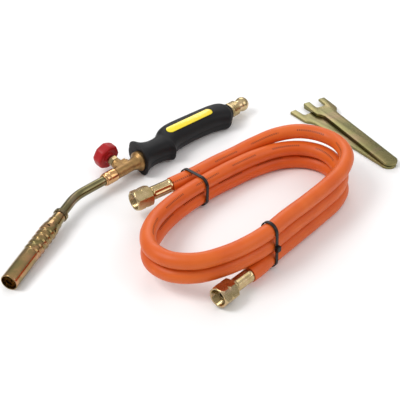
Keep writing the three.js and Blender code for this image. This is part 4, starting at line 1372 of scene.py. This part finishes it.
@dataclass
class Handle:
    """The moulded grip in two halves, with the label let into its upper one."""

    # x, height above the barrel line, depth below it, half thickness, lean of the section
    stations: list = field(default_factory=lambda: [
        (-6, 22.6, 15.6, 14.2, 0.25), (-4, 21.6, 14.8, 14.2, 0.25), (0, 18, 12.2, 13.2, 0.2),
        (5, 15, 10.6, 12.4, 0.15), (12, 12.8, 10.2, 12, 0.06), (20, 12.2, 11.2, 12, 0),
        (26, 13.2, 12.8, 12, 0), (30, 15.2, 16.6, 12.2, 0), (33, 17, 13.4, 12.4, 0),
        (38, 19.2, 10.4, 12.7, 0), (44, 20.4, 8.5, 12.9, 0), (52, 20.6, 7.4, 13, 0),
        (64, 19.8, 7.4, 13, 0), (78, 18.6, 8, 13, 0), (92, 17.4, 9.2, 13, 0),
        (104, 16.2, 11.4, 13, 0.04), (112, 15, 14.2, 12.8, 0.08), (117, 13.8, 16, 12.4, 0.1),
        (121, 12, 14.6, 11.6, 0.08), (125, 9.2, 10.2, 9.8, 0.03), (127, 7.6, 7.6, 8.2, 0),
    ])
    power: float = 2.6                # of the section: 2 is an ellipse, more is squarer
    seam: float = 0.15                # half the width of the line between the halves
    seam_height: float = 0.9          # how far the seam's edge is rounded
    seam_round: float = 0.25
    flange_r: float = 10.5
    label: tuple[float, float, float] = (64.0, 9.0, 0.8)
    label_at: tuple[float, float] = (70.0, 4.6)
    label_slope: float = math.radians(-3.5)
    label_floor: float = 12.1

    def section(self, along: float) -> tuple[float, ...]:
        """The station at a place along the list, run smoothly between its neighbours.

        Args:
            along: place in the list of stations.

        Returns:
            The station's values.
        """
        last = len(self.stations) - 1
        i = min(int(along), last - 1)
        t = along - i
        rows = [self.stations[max(0, min(last, k))] for k in (i - 1, i, i + 1, i + 2)]
        values = []
        for a, b, c, d in zip(*rows):
            values.append(0.5 * (2 * b + (c - a) * t + (2 * a - 5 * b + 4 * c - d) * t ** 2
                                 + (3 * b - a - 3 * c + d) * t ** 3))
        return tuple(values)

    def half(self, name: str, side: int) -> bpy.types.Object:
        """Makes one half of the grip, closed along the seam.

        Args:
            name: the object's name.
            side: 1 for the upper half and -1 for the lower one.

        Returns:
            The new object.
        """
        around, per_span = 48, 5
        spans = (len(self.stations) - 1) * per_span
        rings = []
        for k in range(spans + 1):
            x, above, below, half, lean = self.section(k / per_span)
            middle, height = (above - below) / 2, (above + below) / 2
            ring = []
            for i in range(around + 1):
                angle = math.pi * i / around
                c, s = math.cos(angle), math.sin(angle)
                y = middle + height * math.copysign(abs(c) ** (2 / self.power), c)
                z = half * abs(s) ** (2 / self.power)
                ease = min(1.0, z / self.seam_height)
                drawn_in = (1 - ease) * self.seam_round * math.copysign(1, c)
                ring.append((x + lean * y, y - drawn_in, side * (z + self.seam)))
            rings.append(ring)
        size = around + 1
        points = [p for ring in rings for p in ring]
        faces = []
        for k in range(spans):
            for i in range(around):
                a, b = k * size + i, k * size + i + 1
                faces.append((a, b, b + size, a + size))
            faces.append((k * size + around, k * size, (k + 1) * size, (k + 1) * size + around))
        faces.append(tuple(range(size)))
        faces.append(tuple(range(spans * size, (spans + 1) * size)))
        grip = mesh_object(name, points, faces)
        reach = -5.2 + GAP
        r = self.flange_r + GAP
        bore = turned("flange_bore", [(-30, 0), (-30, r), (reach, r), (reach, 0)], 72)
        return cut(grip, bore)

    def strip(self, name: str, margin: float, low: float, high: float) -> bpy.types.Object:
        """Makes a bar with round ends where the label goes.

        Args:
            name: the object's name.
            margin: how much wider than the label it is all round.
            low: height of its underside.
            high: height of its top.

        Returns:
            The new object.
        """
        length, width, _ = self.label
        radius, reach, steps = width / 2 + margin, (length - width) / 2, 24
        outline = []
        for middle, start in ((reach, -math.pi / 2), (-reach, math.pi / 2)):
            for i in range(steps + 1):
                angle = start + math.pi * i / steps
                outline.append((middle + radius * math.cos(angle), radius * math.sin(angle)))
        count = len(outline)
        points = [(x, y, z) for z in (low, high) for x, y in outline]
        faces = [tuple(range(count)), tuple(range(count, 2 * count))]
        faces += [(i, (i + 1) % count, (i + 1) % count + count, i + count) for i in range(count)]
        bar = mesh_object(name, points, faces)
        turn = Matrix.Rotation(self.label_slope, 4, "Z")
        bar.data.transform(Matrix.Translation((*self.label_at, 0)) @ turn)
        return bar

    def build(self, materials: dict[str, bpy.types.Material]) -> None:
        """Builds both halves and the label.

        Args:
            materials: the finishes by slot.
        """
        black = materials["black_nylon"]
        upper = cut(self.half("grip_upper_half", 1), self.strip("recess", 0.5, self.label_floor, 30))
        lower = self.half("grip_lower_half", -1)
        finished(placed(upper, TORCH), black, "black_nylon", "torch", "handle_upper")
        finished(placed(lower, TORCH), black, "black_nylon", "torch", "handle_lower")
        base = self.label_floor + GAP
        label = bevel(self.strip("label_film", 0, base, base + self.label[2]), 0.25)
        finished(placed(label, TORCH), materials["yellow_label"], "yellow_label", "torch", "label_strip")


@dataclass
class Inlet:
    """The gas inlet at the back of the grip: washer, hexagon, left-hand thread and round seat."""

    washer_x: float = 127.3
    shank_r: float = 6.3
    thread_r: float = 8.3
    root_r: float = 7.6
    threads: int = 6
    pitch: float = 1.5
    hexagon: float = 16.0
    seat_r: float = 8.0
    groove_r: float = 6.3
    end: float = 158.0

    def connector(self) -> bpy.types.Object:
        """Makes the connector from its shank to the bore of its round seat.

        Returns:
            The new object.
        """
        hex_front = self.washer_x + 1.2 + GAP
        hex_back = hex_front + 3
        start = hex_back + 0.6
        stop = start + self.threads * self.pitch
        seat_middle = self.end - self.seat_r + 1.4
        first = math.pi - math.asin(self.groove_r / self.seat_r)
        last = math.acos((self.end - seat_middle) / self.seat_r)
        ball = [(seat_middle + self.seat_r * math.cos(first + (last - first) * i / 20),
                 self.seat_r * math.sin(first + (last - first) * i / 20)) for i in range(21)]
        thread = dense([(start, self.root_r), (stop, self.root_r)], 0.15)
        collar = dense([(hex_front, 9), (hex_back, 9)], 0.25)
        profile = [(103, 0), (103, self.shank_r), (hex_front, self.shank_r), *collar,
                   (hex_back, self.root_r), *thread, (stop, self.groove_r), *ball,
                   (self.end, 2.7), (self.end - 0.2, 2.5), (self.end - 12, 2.5), (self.end - 12, 0)]

        def form(x: float, radius: float, angle: float) -> float:
            """Cuts the hexagon and the left-hand thread.

            Args:
                x: place along the axis.
                radius: the profile's radius there.
                angle: angle round the axis, in radians.

            Returns:
                The radius.
            """
            if radius > 8.9:
                chamfer = self.hexagon / math.sqrt(3) - 0.9 + min(x - hex_front, hex_back - x) * 1.2
                return soft_min(polygon_radius(angle, 6, self.hexagon), chamfer, 0.1)
            if start <= x <= stop and abs(radius - self.root_r) < 1e-3:
                lead = (x / self.pitch + angle / (2 * math.pi)) % 1
                ends = max(0.0, min(1.0, (x - start) / 0.8, (stop - x) / 0.8))
                return radius + (self.thread_r - self.root_r) * ends * min(1.0, 1.5 * (1 - abs(2 * lead - 1)))
            return radius

        return turned("inlet_thread_and_seat", profile, 96, form)

    def build(self, materials: dict[str, bpy.types.Material]) -> None:
        """Builds the connector and the washer.

        Args:
            materials: the finishes by slot.
        """
        brass = materials["turned_brass"]
        finished(placed(self.connector(), TORCH), brass, "turned_brass", "torch", "inlet_connector")
        x = self.washer_x
        ring = turned("grip_washer", softened(sleeve([(x, 9), (x + 1.2, 9)], self.shank_r + GAP), 0.25), 72)
        finished(placed(ring, TORCH), materials["nitrile"], "nitrile", "torch", "rear_washer")


# ------------------------------------------------------------------ spanners

@dataclass
class Spanner:
    """A stamped fork spanner, flat on its side. x runs from the round end to the prongs."""

    name: str
    height: float
    turn: float
    length: float = 147.0
    thickness: float = 3.0
    handle_w: float = 17.0
    head_w: float = 28.5
    slot_w: float = 12.3
    slot_depth: float = 15.0
    shoulder: tuple[float, float] = (32.0, 26.0)
    end: tuple[float, float] = (178.0, -187.4)

    def outline(self) -> list[tuple[float, float]]:
        """The stamped outline, with each corner rounded by its own radius.

        Returns:
            The points of the outline.
        """
        h, w, s, tip = self.handle_w / 2, self.head_w / 2, self.slot_w / 2, self.length
        floor = tip - self.slot_depth
        foot, top = tip - self.shoulder[0], tip - self.shoulder[1]
        side = [(foot, h, 7), (top, w, 6), (tip, w, 1.6), (tip, s, 1.0), (floor, s, 3.0)]
        corners = [(x, -y, r) for x, y, r in side] + [(x, y, r) for x, y, r in reversed(side)]
        points = []
        for i, (x, y, r) in enumerate(corners):
            here = Vector((x, y))
            before = Vector(corners[i - 1][:2]) if i else Vector((h, -h))
            after = Vector(corners[i + 1][:2]) if i + 1 < len(corners) else Vector((h, h))
            back = min(r, (before - here).length * 0.48, (after - here).length * 0.48)
            a = here + (before - here).normalized() * back
            b = here + (after - here).normalized() * back
            for t in (k / 8 for k in range(9)):
                point = a * (1 - t) ** 2 + here * 2 * t * (1 - t) + b * t ** 2
                points.append((point.x, point.y))
        for i in range(33):
            angle = math.pi / 2 + math.pi * i / 32
            points.append((h + h * math.cos(angle), h * math.sin(angle)))
        return points

    def build(self, materials: dict[str, bpy.types.Material]) -> None:
        """Builds the spanner with its rolled edges.

        Args:
            materials: the finishes by slot.
        """
        outline = self.outline()
        count = len(outline)
        points = [(x, y, z) for z in (0, self.thickness) for x, y in outline]
        faces = [tuple(range(count)), tuple(range(count, 2 * count))]
        faces += [(i, (i + 1) % count, (i + 1) % count + count, i + count) for i in range(count)]
        plate = bevel(mesh_object(f"stamped_{self.name}", points, faces), 0.55, 4)
        local = KIT @ Matrix.Translation((*self.end, self.height)) @ Matrix.Rotation(self.turn, 4, "Z")
        steel = materials["passivated_steel"]
        finished(placed(plate, local), steel, "passivated_steel", self.name, self.name)


# ------------------------------------------------------------------ whole

HIDDEN_NODES = {
    "jet_nozzle": "turned_brass", "gas_pipe": "turned_brass",
    "stem_packing": "ptfe", "valve_stem": "turned_brass",
}


def dress_inner_nodes(materials: dict[str, bpy.types.Material]) -> None:
    """Gives the nodes that are kept as they are their finish.

    Args:
        materials: the finishes by slot.
    """
    for name, slot in HIDDEN_NODES.items():
        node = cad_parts[name]
        node.data.materials.clear()
        node.data.materials.append(materials[slot])
        LOG.info("%s keeps its own mesh, in %s", name, slot)


def main() -> None:
    """Builds the camera, the hose set, the torch and the spanners."""
    logging.basicConfig(level=logging.INFO, format="%(name)s: %(message)s")
    stage = Stage()
    stage.camera()
    stage.surroundings()
    materials = {slot: finish.build() for slot, finish in FINISHES.items()}
    HoseSet().build(materials)
    for assembly in (
        BurnerEnd(), Neck(), Valve(), Handle(), Inlet(),
        Spanner("spanner_lower", 0, math.radians(80.4)),
        Spanner("spanner_upper", 3.3, math.radians(72.6)),
    ):
        assembly.build(materials)
    dress_inner_nodes(materials)


if __name__ == "__main__":
    main()
